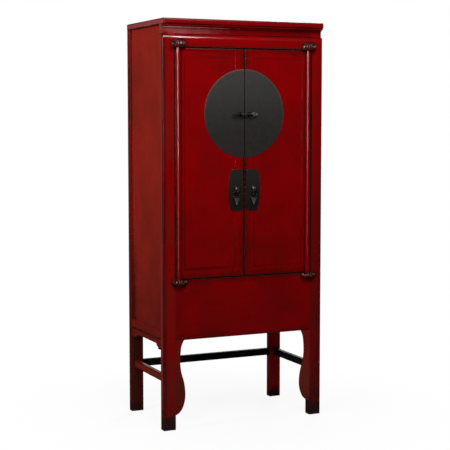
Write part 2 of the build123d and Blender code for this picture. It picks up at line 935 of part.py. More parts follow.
def lock_pin():
    # Tapered bar with a collar, through both eyes. Its end is beaten flat and curled into a ring with a bud.
    collar = pin_reach + eye_spacing / 2 + eye_width / 2 + pin_collar_gap
    head = collar + pin_collar_length
    with BuildSketch(Plane.XZ) as half:
        with BuildLine():
            Polyline(
                (0, 0),
                (pin_tip_diameter / 2, 0),
                (pin_diameter / 2, pin_tip_length),
                (pin_diameter / 2, collar),
                (pin_collar_diameter / 2, collar),
                (pin_collar_diameter / 2, head),
                (0, head),
                (0, 0),
            )
        make_face()
    ring = head + pin_ring_diameter / 2 - pin_ring_overlap
    bud = head + pin_head_length - pin_bud_diameter / 2
    with BuildSketch(Plane.XZ.offset(-pin_head_thickness / 2)) as curl:
        with Locations((0, bud)):
            Circle(pin_bud_diameter / 2)
        with Locations((0, ring)):
            Circle(pin_ring_diameter / 2)
            Circle(pin_ring_hole / 2, mode=Mode.SUBTRACT)
    pin = revolve(half.sketch, Axis.Z) + extrude(curl.sketch, amount=pin_head_thickness)
    return Pos(-pin_reach, front - pin_forward, lock_height) * Rot(0, 90, 0) * pin


# Left drawer


def drawer_z():
    return (drawer_floor, drawer_floor + drawer_height)


def drawer_x():
    return (drawer_outer, drawer_inner)


def dovetails(side_x):
    # Tails of a drawer side, wider at their ends, lapped into the drawer front
    root = drawer_front + drawer_front_thickness
    pitch = drawer_height / dovetail_count
    tails = []
    for index in range(dovetail_count):
        middle = drawer_floor + pitch * (index + 0.5)
        with BuildSketch(Plane.YZ.offset(side_x[0])) as tail:
            with BuildLine():
                Polyline(
                    (root, middle - dovetail_narrow / 2),
                    (root - dovetail_depth, middle - dovetail_wide / 2),
                    (root - dovetail_depth, middle + dovetail_wide / 2),
                    (root, middle + dovetail_narrow / 2),
                    close=True,
                )
            make_face()
        tails.append(extrude(tail.sketch, amount=side_x[1] - side_x[0]))
    return tails


def drawer_side_spans():
    x = drawer_x()
    return [(x[0], x[0] + drawer_side_thickness), (x[1] - drawer_side_thickness, x[1])]


def drawer_bottom():
    inner = [drawer_side_spans()[0][1] - drawer_groove, drawer_side_spans()[1][0] + drawer_groove]
    y = (drawer_front + drawer_front_thickness - drawer_groove, drawer_front + drawer_depth)
    low = drawer_floor + drawer_bottom_rise
    return box(inner, y, (low, low + drawer_bottom_thickness))


def left_drawer_front():
    board = box(drawer_x(), (drawer_front, drawer_front + drawer_front_thickness), drawer_z())
    for side_x in drawer_side_spans():
        for tail in dovetails(side_x):
            board -= tail
    board -= grown(drawer_bottom())
    return board - knob_spigot(joint_play)


def left_drawer_box():
    y = (drawer_front + drawer_front_thickness, drawer_front + drawer_depth)
    sides = []
    for side_x in drawer_side_spans():
        board = box(side_x, y, drawer_z()) - grown(drawer_bottom())
        for tail in dovetails(side_x):
            board += tail - grown(drawer_bottom())
        sides.append(board)
    top_of_bottom = drawer_floor + drawer_bottom_rise + drawer_bottom_thickness
    rear_x = (drawer_side_spans()[0][1], drawer_side_spans()[1][0])
    rear = box(rear_x, (y[1] - drawer_side_thickness, y[1]), (top_of_bottom, drawer_z()[1]))
    return [*sides, drawer_bottom(), rear]


def knob_place():
    return ((drawer_outer + drawer_inner) / 2, drawer_front, drawer_floor + drawer_height / 2)


def knob_spigot(play=0.0):
    return rod(knob_place(), (0, 1, 0), knob_stem_diameter * 0.7 + 2 * play, knob_spigot_length + play)


def left_drawer_knob():
    # Turned knob: a thick disc on a round stem
    stem, rim = knob_stem_diameter / 2, knob_diameter / 2
    with BuildSketch(Plane.XZ) as half:
        with BuildLine():
            Polyline(
                (0, 0),
                (stem, 0),
                (stem, knob_neck_length),
                (rim, knob_neck_length),
                (rim, knob_projection),
                (0, knob_projection),
                (0, 0),
            )
        make_face()
    knob = Pos(*knob_place()) * Rot(90, 0, 0) * revolve(half.sketch, Axis.Z)
    return knob + knob_spigot()


# Carcass nodes
save_pair("front_{}_post", front_left_post())
save_pair("rear_{}_post", rear_left_post())
save("top_board", top_board())
save("cove_moulding", cove_moulding())
save("neck_frieze", neck_frieze())
save("front_top_rail", front_top_rail())
save("side_top_battens", left_top_batten(), mirrored(left_top_batten()))
save("front_apron", front_apron())
save_pair("front_{}_spandrel", front_left_spandrel())
save_pair("{}_bottom_rail", left_bottom_rail())
save_pair("{}_side_panel", left_side_panel())
save_pair("{}_side_apron", left_side_apron())
save_pair("{}_stretcher", left_stretcher())
save("rear_stretcher", rear_stretcher())
save("back_top_rail", back_rail(top_back_rail_z()))
save("back_bottom_rail", back_rail(bottom_back_rail_z()))
save("back_panel", back_panel())

# Inside nodes
save("compartment_floor", compartment_floor())
save("deck", deck())
save("hatch_battens", *[hatch_batten(y) for y in hatch_y()])
save("compartment_lid", compartment_lid())
save("drawer_shelf", shelf(drawer_shelf_height))
save("upper_shelf", shelf(upper_shelf_bottom + shelf_thickness))
cleats = [left_cleat(side_rail_inner, side_rail_top)]
for top in (deck_height, drawer_shelf_height, upper_shelf_bottom + shelf_thickness):
    cleats.append(left_cleat(panel_inner, top))
save("shelf_cleats", *cleats, *[mirrored(cleat) for cleat in cleats])
cheek = drawer_partition((drawer_outer - drawer_play - partition_thickness, drawer_outer - drawer_play))
divider = drawer_partition(centred((0, 0), partition_thickness))
save("drawer_partitions", cheek, divider, mirrored(cheek))
stops = [(deck_height, deck_height + stop_height), (rail_bottom - stop_height, rail_bottom)]
save("door_stops", *[door_stop(z) for z in stops])

# Pivot blocks
save_pair("upper_{}_pivot_block", upper_left_pivot_block())
save_pair("lower_{}_pivot_block", lower_left_pivot_block())

# Doors
save_pair("{}_door_frame", *left_door_frame())
save_pair("{}_door_panel", left_door_panel())
save_pair("{}_pivot_pole", left_pivot_pole())
save_pair("{}_moon_plate", left_moon_plate())
save_pair("{}_lock_eye", left_lock_eye())
save_pair("{}_handle_plate", left_handle_plate())
save_pair("{}_pull_boss", left_pull_boss())
save_pair("{}_pull", left_pull())
save("lock_pin", lock_pin())

# Drawers
save_pair("{}_drawer_front", left_drawer_front())
save_pair("{}_drawer_box", *left_drawer_box())
save_pair("{}_drawer_knob", left_drawer_knob())
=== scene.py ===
import math

import bmesh
import bpy
import numpy as np
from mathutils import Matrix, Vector


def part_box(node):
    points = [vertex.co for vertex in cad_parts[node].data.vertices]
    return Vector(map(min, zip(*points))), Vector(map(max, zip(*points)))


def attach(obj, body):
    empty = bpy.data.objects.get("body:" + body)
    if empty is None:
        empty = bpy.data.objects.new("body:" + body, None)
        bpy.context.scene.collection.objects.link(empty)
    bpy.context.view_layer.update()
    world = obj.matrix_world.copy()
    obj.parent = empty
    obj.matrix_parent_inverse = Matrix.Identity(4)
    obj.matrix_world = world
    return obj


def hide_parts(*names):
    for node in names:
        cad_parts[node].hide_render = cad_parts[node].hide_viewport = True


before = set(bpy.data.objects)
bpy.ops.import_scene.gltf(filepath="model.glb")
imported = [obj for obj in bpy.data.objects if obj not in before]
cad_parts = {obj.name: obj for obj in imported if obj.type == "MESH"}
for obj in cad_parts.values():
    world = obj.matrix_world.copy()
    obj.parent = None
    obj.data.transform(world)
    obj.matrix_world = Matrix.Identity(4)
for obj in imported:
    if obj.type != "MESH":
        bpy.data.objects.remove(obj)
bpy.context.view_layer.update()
print("frame loaded,", len(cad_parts), "nodes")


def addObject(name, data):
    # New object that holds the data, linked to the scene
    made = bpy.data.objects.new(name, data)
    bpy.context.scene.collection.objects.link(made)
    return made


def emptyTree(owner):
    # Node tree of a material or a world, without the nodes it starts with
    owner.use_nodes = True
    owner.node_tree.nodes.clear()
    return owner.node_tree


def addNode(tree, kind, inputs=None, **settings):
    # One shader node; each input is linked to a socket or set to a plain value
    made = tree.nodes.new(kind)
    for key, value in settings.items():
        setattr(made, key, value)
    for key, value in (inputs or {}).items():
        if isinstance(value, bpy.types.NodeSocket):
            tree.links.new(value, made.inputs[key])
        else:
            made.inputs[key].default_value = value
    return made


def calc(tree, operation, first, second=0.0, third=0.0):
    # One number from two; MULTIPLY_ADD is first times second plus third
    return addNode(tree, "ShaderNodeMath", {0: first, 1: second, 2: third}, operation=operation).outputs[0]


def vectorCalc(tree, operation, first, second=(0, 0, 0)):
    # The same for vectors; a dot product and a length come out as one number
    made = addNode(tree, "ShaderNodeVectorMath", {0: first, 1: second}, operation=operation)
    return made.outputs["Value" if operation in ("DOT_PRODUCT", "LENGTH") else "Vector"]


def parts(tree, vector):
    # x, y and z of a vector
    return addNode(tree, "ShaderNodeSeparateXYZ", {0: vector}).outputs


def ramp(tree, value, ends, results=(0.0, 1.0)):
    # Smooth step: the first result where value is at the first end, the second one at the second
    (start, end), (low, high) = ends, results
    inputs = {"Value": value, "From Min": start, "From Max": end, "To Min": low, "To Max": high}
    return addNode(tree, "ShaderNodeMapRange", inputs, interpolation_type="SMOOTHSTEP").outputs[0]


def mixColour(tree, factor, first, second):
    # first times (1 - factor) plus second times factor
    return addNode(tree, "ShaderNodeMix", {0: factor, 6: first, 7: second}, data_type="RGBA").outputs[2]


def layOver(tree, colour, mask, depth, cover):
    # A cover colour laid on where the mask says, as thick as the depth
    return mixColour(tree, calc(tree, "MULTIPLY", mask, depth), colour, cover)


def noise(tree, at, scale, detail=3.0, rough=0.6, bend=0.0):
    # Cloudy value around 0.5, mostly within the noise span
    inputs = {"Vector": at, "Scale": scale, "Detail": detail, "Roughness": rough, "Distortion": bend}
    return addNode(tree, "ShaderNodeTexNoise", inputs).outputs["Fac"]


noiseSpan = (0.3, 0.7)


def newGroup(name, inputs=None):
    # Empty effect that takes Coordinates and the named inputs: three numbers make a vector, one a number
    group = bpy.data.node_groups.new(name, "ShaderNodeTree")
    for key, value in {"Coordinates": (0, 0, 0), **(inputs or {})}.items():
        kind = "NodeSocketVector" if isinstance(value, tuple) else "NodeSocketFloat"
        group.interface.new_socket(name=key, in_out="INPUT", socket_type=kind).default_value = value
    given = group.nodes.new("NodeGroupInput").outputs
    return group, given["Coordinates"], given


def closeGroup(group, results):
    # One named output for each result
    for key in results:
        group.interface.new_socket(name=key, in_out="OUTPUT", socket_type="NodeSocketFloat")
    addNode(group, "NodeGroupOutput", results)
    return group


def useGroup(tree, group, inputs):
    # The outputs of an effect placed in a material
    return addNode(tree, "ShaderNodeGroup", inputs, node_tree=group).outputs


def sideDistances(tree, at, given):
    # In x, y and z, how far a point lies inside the nearer side of the box from Low to High
    below = vectorCalc(tree, "SUBTRACT", at, given["Low"])
    above = vectorCalc(tree, "SUBTRACT", given["High"], at)
    return parts(tree, vectorCalc(tree, "MINIMUM", below, above))


def makeEdgeWear():
    # Distance to the nearest edge of a board: the middle one of the three distances to its box.
    # Worn is 1 within a ragged width of that edge, Bare only on its very corner.
    tree, at, given = newGroup("edgeWear", {"Low": (0, 0, 0), "High": (1, 1, 1), "Width": 0.006})
    near = sideDistances(tree, at, given)
    lower = calc(tree, "MINIMUM", near[0], near[1])
    upper = calc(tree, "MAXIMUM", near[0], near[1])
    middle = calc(tree, "MAXIMUM", lower, calc(tree, "MINIMUM", upper, near[2]))
    broad = ramp(tree, noise(tree, at, 9.0, detail=4.0), noiseSpan)
    fine = noise(tree, at, 120.0)
    ragged = calc(tree, "MAXIMUM", calc(tree, "MULTIPLY_ADD", broad, 0.75, fine), 0.02)
    share = calc(tree, "DIVIDE", middle, calc(tree, "MULTIPLY", given["Width"], ragged))
    frayed = calc(tree, "MULTIPLY_ADD", fine, 0.5, share)
    worn = ramp(tree, share, (1.15, 0.45))
    return closeGroup(tree, {"Worn": worn, "Bare": ramp(tree, frayed, (0.62, 0.32))})


def makeGrain():
    # Long soft streaks: noise on coordinates squeezed along the board, with a fine peel over it
    tree, at, given = newGroup("grain", {"Squeeze": (1, 1, 1), "Scale": 60.0})
    squeezed = vectorCalc(tree, "MULTIPLY", at, given["Squeeze"])
    streaks = noise(tree, squeezed, given["Scale"], detail=5.0, rough=0.62, bend=0.4)
    clouds = noise(tree, at, 4.2, detail=5.0, bend=0.3)
    peel = noise(tree, at, 210.0, detail=2.0, rough=0.5)
    height = calc(tree, "MULTIPLY_ADD", peel, 0.35, streaks)
    return closeGroup(tree, {"Streaks": streaks, "Clouds": clouds, "Height": height})


def makeFootDirt():
    # Scuffed dark feet: 1 at the floor, gone above a ragged height
    tree, at, given = newGroup("footDirt", {"Height": 0.05})
    ragged = ramp(tree, noise(tree, at, 26.0, detail=4.0, rough=0.65), (0.3, 0.72), (0.35, 1.5))
    share = calc(tree, "DIVIDE", parts(tree, at)[2], calc(tree, "MULTIPLY", given["Height"], ragged))
    return closeGroup(tree, {"Dirt": ramp(tree, share, (1.5, 0.25))})


def makeJointLine():
    # Faint line along the edge of an inset rectangle in the XZ plane, as where a panel meets its frame
    tree, at, given = newGroup("jointLine", {"Low": (0, 0, 0), "High": (1, 1, 1), "Width": 0.002})
    near = sideDistances(tree, at, given)
    away = calc(tree, "ABSOLUTE", calc(tree, "MINIMUM", near[0], near[2]))
    line = ramp(tree, calc(tree, "DIVIDE", away, given["Width"]), (1.0, 0.2))
    strength = ramp(tree, noise(tree, at, 14.0), (0.35, 0.65), (0.25, 1.0))
    return closeGroup(tree, {"Line": calc(tree, "MULTIPLY", line, strength)})


def makePatina():
    # Mottled metal: broad clouds, small pits, and brushed streaks across the plate
    tree, at, given = newGroup("patina", {"Scale": 40.0})
    clouds = noise(tree, at, given["Scale"], detail=5.0, bend=0.6)
    pits = ramp(tree, noise(tree, at, 420.0, detail=2.0), (0.55, 0.75))
    brushed = noise(tree, vectorCalc(tree, "MULTIPLY", at, (18, 18, 260)), 3.0)
    height = calc(tree, "MULTIPLY_ADD", clouds, 0.6, calc(tree, "MULTIPLY", brushed, 0.4))
    height = calc(tree, "MULTIPLY_ADD", pits, -0.3, height)
    return closeGroup(tree, {"Clouds": clouds, "Pits": pits, "Height": height})


def makeSoftPatch():
    # 1 at the centre of an ellipsoid, 0 at its surface, broken up a little by noise
    tree, at, given = newGroup("softPatch", {"Centre": (0, 0, 0), "Reach": (1, 1, 1)})
    away = vectorCalc(tree, "SUBTRACT", at, given["Centre"])
    share = vectorCalc(tree, "LENGTH", vectorCalc(tree, "DIVIDE", away, given["Reach"]))
    ragged = ramp(tree, noise(tree, at, 30.0), noiseSpan, (-0.12, 0.12))
    return closeGroup(tree, {"Mask": ramp(tree, calc(tree, "ADD", share, ragged), (1.0, 0.0))})


# in metres from the middle of the cabinet and from the floor
poleShadeAndGrimeLook = {
    "outer": 0.3400,  # painted shadow in the joint outside each pole
    "outerFade": (0.0085, 0.004),
    "outerDepth": 0.85,
    "inner": 0.3130,  # browner band inside it
    "innerFade": (0.008, 0.002),
    "innerDepth": 0.35,
    "seamFade": (0.0062, 0.0042),  # half width of the painted shade in the seam between the doors
    "seamDepth": 0.95,
    "handledWider": 0.006,  # where hands reach for the pulls
    "handled": ((0.985, 1.005), (1.185, 1.165)),
    "tall": ((0.66, 0.70), (1.745, 1.735)),
}


def makePoleShadeAndGrime(look):
    # Painted shade in bands of the distance from the middle, in the joint outside each pole and in the doors'
    # seam, with a browner band inside each pole and dirt where the seam is handled; two smooth steps in z, up
    # and down again, keep it as high as the doors and widen the handled part
    tree, at, _ = newGroup("poleShadeAndGrime")
    x, _, z = parts(tree, at)
    across = calc(tree, "ABSOLUTE", x)
    handled, tall = [calc(tree, "MULTIPLY", ramp(tree, z, look[key][0]), ramp(tree, z, look[key][1]))
                     for key in ("handled", "tall")]
    inSeam = calc(tree, "SUBTRACT", across, calc(tree, "MULTIPLY", handled, look["handledWider"]))
    mask = ramp(tree, inSeam, look["seamFade"], (0.0, look["seamDepth"]))
    for band in ("outer", "inner"):
        away = calc(tree, "ABSOLUTE", calc(tree, "SUBTRACT", across, look[band]))
        dirt = ramp(tree, away, look[band + "Fade"], (0.0, look[band + "Depth"]))
        mask = calc(tree, "MAXIMUM", mask, dirt)
    return closeGroup(tree, {"Mask": calc(tree, "MULTIPLY", mask, tall)})


cornerLook = {
    "rim": (0.0075, 0.0045),  # width of the side face painted pale as a highlight
    "front": (0.004, 0.014),  # distance from the front where it begins
    "dirt": (0.022, 0.002),
    "pale": (0.85, 0.60),  # strengths of the painted highlight from place to place
    "dark": (0.45, 0.80),
}


def makeCornerLine(look):
    # An upright corner handled for years. The larger of the two distances to the corner runs along its
    # faces: dark dirt lies on the corner and thins out from it, and the narrow side face is painted pale as a
    # highlight.
    tree, at, given = newGroup("cornerLine", {"Corner": (0, 0, 0)})
    x, y, _ = parts(tree, vectorCalc(tree, "ABSOLUTE", vectorCalc(tree, "SUBTRACT", at, given["Corner"])))
    drift = noise(tree, vectorCalc(tree, "MULTIPLY", at, (1, 1, 0.4)), 12.0, detail=4.0)
    pale = calc(tree, "MULTIPLY", ramp(tree, x, look["rim"]), ramp(tree, y, look["front"]))
    pale = calc(tree, "MULTIPLY", pale, ramp(tree, drift, (0.25, 0.6), look["pale"]))
    dark = ramp(tree, calc(tree, "MAXIMUM", x, y), look["dirt"])
    dark = calc(tree, "MULTIPLY", dark, ramp(tree, drift, noiseSpan, look["dark"]))
    return closeGroup(tree, {"Pale": pale, "Dark": dark})


def makeSoftShoulder():
    # Height of a rounded upper edge: nearly a quarter circle of the radius below the top, flat further down
    tree, at, given = newGroup("softShoulder", {"Top": 1.0, "Radius": 0.01})
    below = calc(tree, "SUBTRACT", parts(tree, at)[2], given["Top"])
    share = calc(tree, "ADD", calc(tree, "DIVIDE", below, given["Radius"]), 1.0)
    share = calc(tree, "MINIMUM", calc(tree, "MAXIMUM", share, 0.0), 0.96)
    fall = calc(tree, "SQRT", calc(tree, "SUBTRACT", 1.0, calc(tree, "MULTIPLY", share, share)))
    height = calc(tree, "MULTIPLY", calc(tree, "SUBTRACT", fall, 1.0), given["Radius"])
    return closeGroup(tree, {"Height": height})


edgeWear = makeEdgeWear()
grain = makeGrain()
footDirt = makeFootDirt()
jointLine = makeJointLine()
patina = makePatina()
softPatch = makeSoftPatch()
poleShadeAndGrime = makePoleShadeAndGrime(poleShadeAndGrimeLook)
cornerLine = makeCornerLine(cornerLook)
softShoulder = makeSoftShoulder()
print("shared effects ready")


lacquerLook = {
    "red": (0.247, 0.0003, 0.0011, 1),
    "deepRed": (0.120, 0.0003, 0.0006, 1),
    "under": (0.018, 0.0012, 0.0010, 1),  # dark coat that shows where the red is rubbed through, and the colour of painted shade in gaps and along edges
    "bareWood": (0.20, 0.085, 0.05, 1),
    "footDirt": (0.027, 0.0120, 0.0112, 1),
    "paintedSheen": (0.262, 0.055, 0.050, 1),  # painted sheen: pale red where a lamp's reflection falls
    "handled": (0.21, 0.030, 0.024, 1),  # painted highlight on the narrow side face of a corner
    "roughness": 0.20,
    "roughSpread": (-0.05, 0.06),
    "wornRougher": 0.05,
    "specular": 0.40,
    "peel": 0.00010,
    "grainScale": 62.0,
    "streakShare": 0.16,
    "cloudSpan": (0.38, 0.66),  # part of the pattern in which the darker clouds come up
    "clouds": 0.5,  # how far they go
    "shade": (1.50, 0.15),  # painted shade: the red deepens from the first height down to the second, for light that falls off lower down
    "lowShade": 0.31,
    "footHeight": 0.080,
    "footDepth": 0.8,
    "edgeWidth": 0.0055,
    "wornDepth": 0.88,
    "bareDepth": 0.35,
    "edgeDirtAndShade": 0.30,  # soft dark band along the edges: dirt gathered there, and painted shade where a board meets its neighbours
    "borderWidth": 0.030,
    "jointWidth": 0.0045,
    "jointFade": (1.15, 0.76),  # a panel's joint shows more from the first height to the second
    "jointDepth": (0.32, 0.75),
}
postLook = dict(
    lacquerLook, red=(0.223, 0.0004, 0.0010, 1), deepRed=(0.125, 0.0085, 0.0050, 1),
    under=(0.014, 0.0032, 0.0026, 1), clouds=0.35, edgeDirtAndShade=0.18, shade=(0.45, 0.15), lowShade=0.50)
rearPostLook = dict(
    postLook, red=(0.150, 0.0056, 0.0042, 1), deepRed=(0.062, 0.0088, 0.0052, 1), clouds=0.9,
    paintedSheen=(0.134, 0.030, 0.021, 1), specular=0.06, edgeDirtAndShade=0.30, footHeight=0.035, shade=(0.80, 0.40),
    lowShade=0.75)
# painted light: a brighter copy of the rear post's red, for the rear right post in the cabinet's shade
brightenedShadedPostLook = dict(
    rearPostLook, red=(0.380, 0.0060, 0.0060, 1), deepRed=(0.230, 0.0090, 0.0080, 1), lowShade=0.50)
# painted shade begins higher and goes deeper down the right post, which the lamps reach less
rightPostLook = dict(
    postLook, red=(0.252, 0.0004, 0.0012, 1), deepRed=(0.090, 0.0050, 0.0035, 1), shade=(1.30, 0.86),
    lowShade=0.60)
wingLook = dict(postLook, deepRed=(0.090, 0.0115, 0.0072, 1), shade=(0.60, 0.15), lowShade=0.75)
# painted light: a lighter deep red for the right wing, which the lamps reach less
rightWingLook = dict(wingLook, deepRed=(0.150, 0.0180, 0.0105, 1))
# a darker red: painted shade under the board's overhang
neckLook = dict(lacquerLook, red=(0.180, 0.0006, 0.0014, 1), edgeDirtAndShade=0.10)
coveLook = dict(lacquerLook, paintedSheen=(0.95, 0.50, 0.46, 1))  # painted highlight along the lower lip
railLook = dict(lacquerLook, red=(0.275, 0.0004, 0.0012, 1), edgeDirtAndShade=0.08, roughness=0.17, specular=0.65)
topLook = dict(lacquerLook, red=(0.240, 0.0006, 0.0014, 1), edgeDirtAndShade=0.05, roughness=0.26, specular=0.22)
# a paler, browner red with painted sheen in it, for the gloss seen at a grazing angle
sideLook = dict(
    lacquerLook, red=(0.270, 0.0165, 0.0092, 1), deepRed=(0.120, 0.0095, 0.0050, 1),
    under=(0.014, 0.0032, 0.0026, 1), roughness=0.30, specular=0.30, edgeDirtAndShade=0.05, shade=(0.85, 0.35),
    lowShade=0.45)
sideRailLook = dict(sideLook, edgeDirtAndShade=0.75, borderWidth=0.011)
# paler still, with painted sheen in it and the gloss taken out
stretcherLook = dict(
    sideLook, red=(0.310, 0.0230, 0.0150, 1), deepRed=(0.155, 0.0145, 0.0095, 1), specular=0.04)
poleLook = dict(lacquerLook, roughness=0.13, specular=0.8, lowShade=0.2, peel=0.00004)
darkLook = dict(
    lacquerLook, red=(0.014, 0.0125, 0.0125, 1), deepRed=(0.0035, 0.003, 0.003, 1),
    under=(0.003, 0.0022, 0.0022, 1), bareWood=(0.05, 0.03, 0.02, 1), roughness=0.5, specular=0.15)
# painted shade: nearly black for the door stops, seen only through the doors' seam
gapLook = dict(darkLook, red=(0.010, 0.0025, 0.0022, 1), deepRed=(0.006, 0.0015, 0.0012, 1))

squeezes = {"x": (0.06, 1, 1), "y": (1, 0.06, 1), "z": (1, 1, 0.06)}  # draws a pattern out along the grain


def startMaterial(name):
    # Empty material, and the object coordinates that its patterns follow
    material = bpy.data.materials.new(name)
    tree = emptyTree(material)
    return material, tree, addNode(tree, "ShaderNodeTexCoord").outputs["Object"]


def roughBy(tree, value, look):
    # The look's roughness, give or take its spread as the value goes over a noise's range
    return ramp(tree, value, noiseSpan, [look["roughness"] + spread for spread in look["roughSpread"]])


def finishMaterial(tree, look, colour, roughness, height, relief):
    # Principled surface with plain gloss and metal, and a bump of the height times the relief
    bump = addNode(tree, "ShaderNodeBump", {"Height": height, "Distance": relief, "Strength": 1.0})
    surface = addNode(tree, "ShaderNodeBsdfPrincipled", {
        "Base Color": colour, "Roughness": roughness, "Normal": bump.outputs[0],
        "Specular IOR Level": look["specular"], "Metallic": look.get("metallic", 0.0)})
    addNode(tree, "ShaderNodeOutputMaterial", {"Surface": surface.outputs[0]})


def rubAndGlintOf(tree):
    # What the piece's own attribute of rub and painted glint says
    return addNode(tree, "ShaderNodeAttribute", attribute_name="rubAndGlint").outputs["Fac"]


def layPatch(tree, at, colour, patch, cover):
    # A cover colour laid over a soft ellipsoid
    centre, reach, depth = patch
    mask = useGroup(tree, softPatch, {**at, "Centre": centre, "Reach": reach})["Mask"]
    return layOver(tree, colour, mask, depth, cover)


def makeLacquer(name, look, along, box=None, marks=None):
    # Red that clouds over and is painted darker downwards as shade, and over it in turn: a pale patch of
    # painted sheen, a corner with dirt on its edge and a painted highlight on its side, dark patches of stain
    # and of painted shade, painted shade in the gaps beside the poles and in the seam with dirt where hands
    # reach, dirt and painted shade along the edges, the joint of a panel, wear down to the dark coat, scuffed
    # feet and bare wood on the edges. The edges are those of the box; a shoulder is a rounded one.
    marks = marks or {}
    material, tree, coordinates = startMaterial(name)
    at = {"Coordinates": coordinates}
    up = parts(tree, coordinates)[2]
    under = look["under"]
    pattern = useGroup(tree, grain, {**at, "Squeeze": squeezes[along], "Scale": look["grainScale"]})
    clouds = calc(tree, "MULTIPLY", pattern["Clouds"], 1 - look["streakShare"])
    clouds = calc(tree, "MULTIPLY_ADD", pattern["Streaks"], look["streakShare"], clouds)
    tone = ramp(tree, clouds, look["cloudSpan"], (0.0, look["clouds"]))
    # painted shade: the red darkens downwards, standing in for the light falling off lower down
    tone = calc(tree, "ADD", tone, ramp(tree, up, look["shade"], (0.0, look["lowShade"])))
    colour = mixColour(tree, calc(tree, "MINIMUM", tone, 1.0), look["red"], look["deepRed"])
    dirt = useGroup(tree, footDirt, {**at, "Height": look["footHeight"]})["Dirt"]
    worn = dirt
    # painted sheen: a pale patch where a lamp's reflection falls
    if "paintedSheen" in marks:
        colour = layPatch(tree, at, colour, marks["paintedSheen"], look["paintedSheen"])
    if "corner" in marks:
        handled = useGroup(tree, cornerLine, {**at, "Corner": marks["corner"]})
        colour = mixColour(tree, handled["Dark"], colour, under)
        # painted highlight on the corner's narrow side face
        colour = mixColour(tree, handled["Pale"], colour, look["handled"])
    # dark patches: a stain on the doors, painted shade on the side panel
    if "darkPatch" in marks:
        colour = layPatch(tree, at, colour, marks["darkPatch"], under)
    # painted shade in the gaps beside the poles and in the doors' seam, with dirt where hands reach
    if "grime" in marks:
        band = useGroup(tree, poleShadeAndGrime, at)["Mask"]
        colour = mixColour(tree, band, colour, under)
        worn = calc(tree, "MAXIMUM", worn, band)
    if box:
        sides = {**at, "Low": box[0], "High": box[1]}
        edges = useGroup(tree, edgeWear, {**sides, "Width": look["edgeWidth"]})
        # dark band along the edges: dirt, and painted shade where the board meets its neighbours
        edgeDirtAndShade = useGroup(tree, edgeWear, {**sides, "Width": look["borderWidth"]})["Worn"]
        worn = calc(tree, "MAXIMUM", worn, edges["Worn"])
        colour = layOver(tree, colour, edgeDirtAndShade, look["edgeDirtAndShade"], under)
    if "panel" in marks:
        low, high = marks["panel"]
        joint = useGroup(tree, jointLine, {**at, "Low": low, "High": high, "Width": look["jointWidth"]})
        shown = ramp(tree, up, look["jointFade"], look["jointDepth"])
        colour = layOver(tree, colour, joint["Line"], shown, under)
    colour = layOver(tree, colour, worn, look["wornDepth"], under)
    colour = layOver(tree, colour, dirt, look["footDepth"], look["footDirt"])
    if box:
        colour = layOver(tree, colour, edges["Bare"], look["bareDepth"], look["bareWood"])
    rough = calc(tree, "MULTIPLY_ADD", worn, look["wornRougher"], roughBy(tree, pattern["Clouds"], look))
    height = calc(tree, "MULTIPLY", pattern["Height"], look["peel"])
    if "shoulder" in marks:
        top, radius = marks["shoulder"]
        shoulder = useGroup(tree, softShoulder, {**at, "Top": top, "Radius": radius})["Height"]
        height = calc(tree, "ADD", height, shoulder)
    finishMaterial(tree, look, colour, rough, height, 1.0)
    return material


carvedLook = {
    "lacquer": (0.062, 0.0045, 0.0038, 1),
    "hollow": (0.014, 0.0014, 0.0012, 1),
    # pale crest colour: a painted glint
    "crestGlint": (0.62, 0.30, 0.27, 1),
    "roughness": 0.24,
    "roughSpread": (0.08, -0.04),
    "specular": 0.07,
    "mottleScale": 90.0,
    "mottleSpan": (0.35, 0.62),
    "glintSpan": (0.40, 0.62),
    "relief": 0.0002,
}


def makeCarved(name, look):
    # Mottled dark lacquer; the piece's attribute of rub and glint is high along the crests, where a pale
    # painted glint is laid
    material, tree, coordinates = startMaterial(name)
    mottle = useGroup(tree, patina, {"Coordinates": coordinates, "Scale": look["mottleScale"]})
    clouds = mottle["Clouds"]
    colour = mixColour(tree, ramp(tree, clouds, look["mottleSpan"]), look["hollow"], look["lacquer"])
    colour = layOver(tree, colour, rubAndGlintOf(tree), ramp(tree, clouds, look["glintSpan"]), look["crestGlint"])
    finishMaterial(tree, look, colour, roughBy(tree, clouds, look), mottle["Height"], look["relief"])
    return material


woodLook = {
    "light": (0.30, 0.165, 0.075, 1),
    "dark": (0.15, 0.07, 0.028, 1),
    "roughness": 0.55,
    "roughSpread": (-0.08, 0.10),
    "specular": 0.3,
    "grainScale": 90.0,
    "rings": {"Scale": 34.0, "Distortion": 5.0, "Detail": 3.0, "Detail Scale": 1.4},
    "ringShare": 0.45,
    "streakShare": 0.7,
    "toneSpan": (0.15, 0.95),
    "relief": 0.0002,
}


def makeWood(name, look, along):
    # Growth rings: waves across the board, bent by noise and squeezed along it
    material, tree, coordinates = startMaterial(name)
    squeeze = squeezes[along]
    inputs = {"Coordinates": coordinates, "Squeeze": squeeze, "Scale": look["grainScale"]}
    streaks = useGroup(tree, grain, inputs)["Streaks"]
    squeezed = vectorCalc(tree, "MULTIPLY", coordinates, squeeze)
    rings = addNode(tree, "ShaderNodeTexWave", {"Vector": squeezed, **look["rings"]}).outputs["Fac"]
    tone = calc(tree, "MULTIPLY", streaks, look["streakShare"])
    tone = calc(tree, "MULTIPLY_ADD", rings, look["ringShare"], tone)
    colour = mixColour(tree, ramp(tree, tone, look["toneSpan"]), look["light"], look["dark"])
    finishMaterial(tree, look, colour, roughBy(tree, streaks, look), tone, look["relief"])
    return material


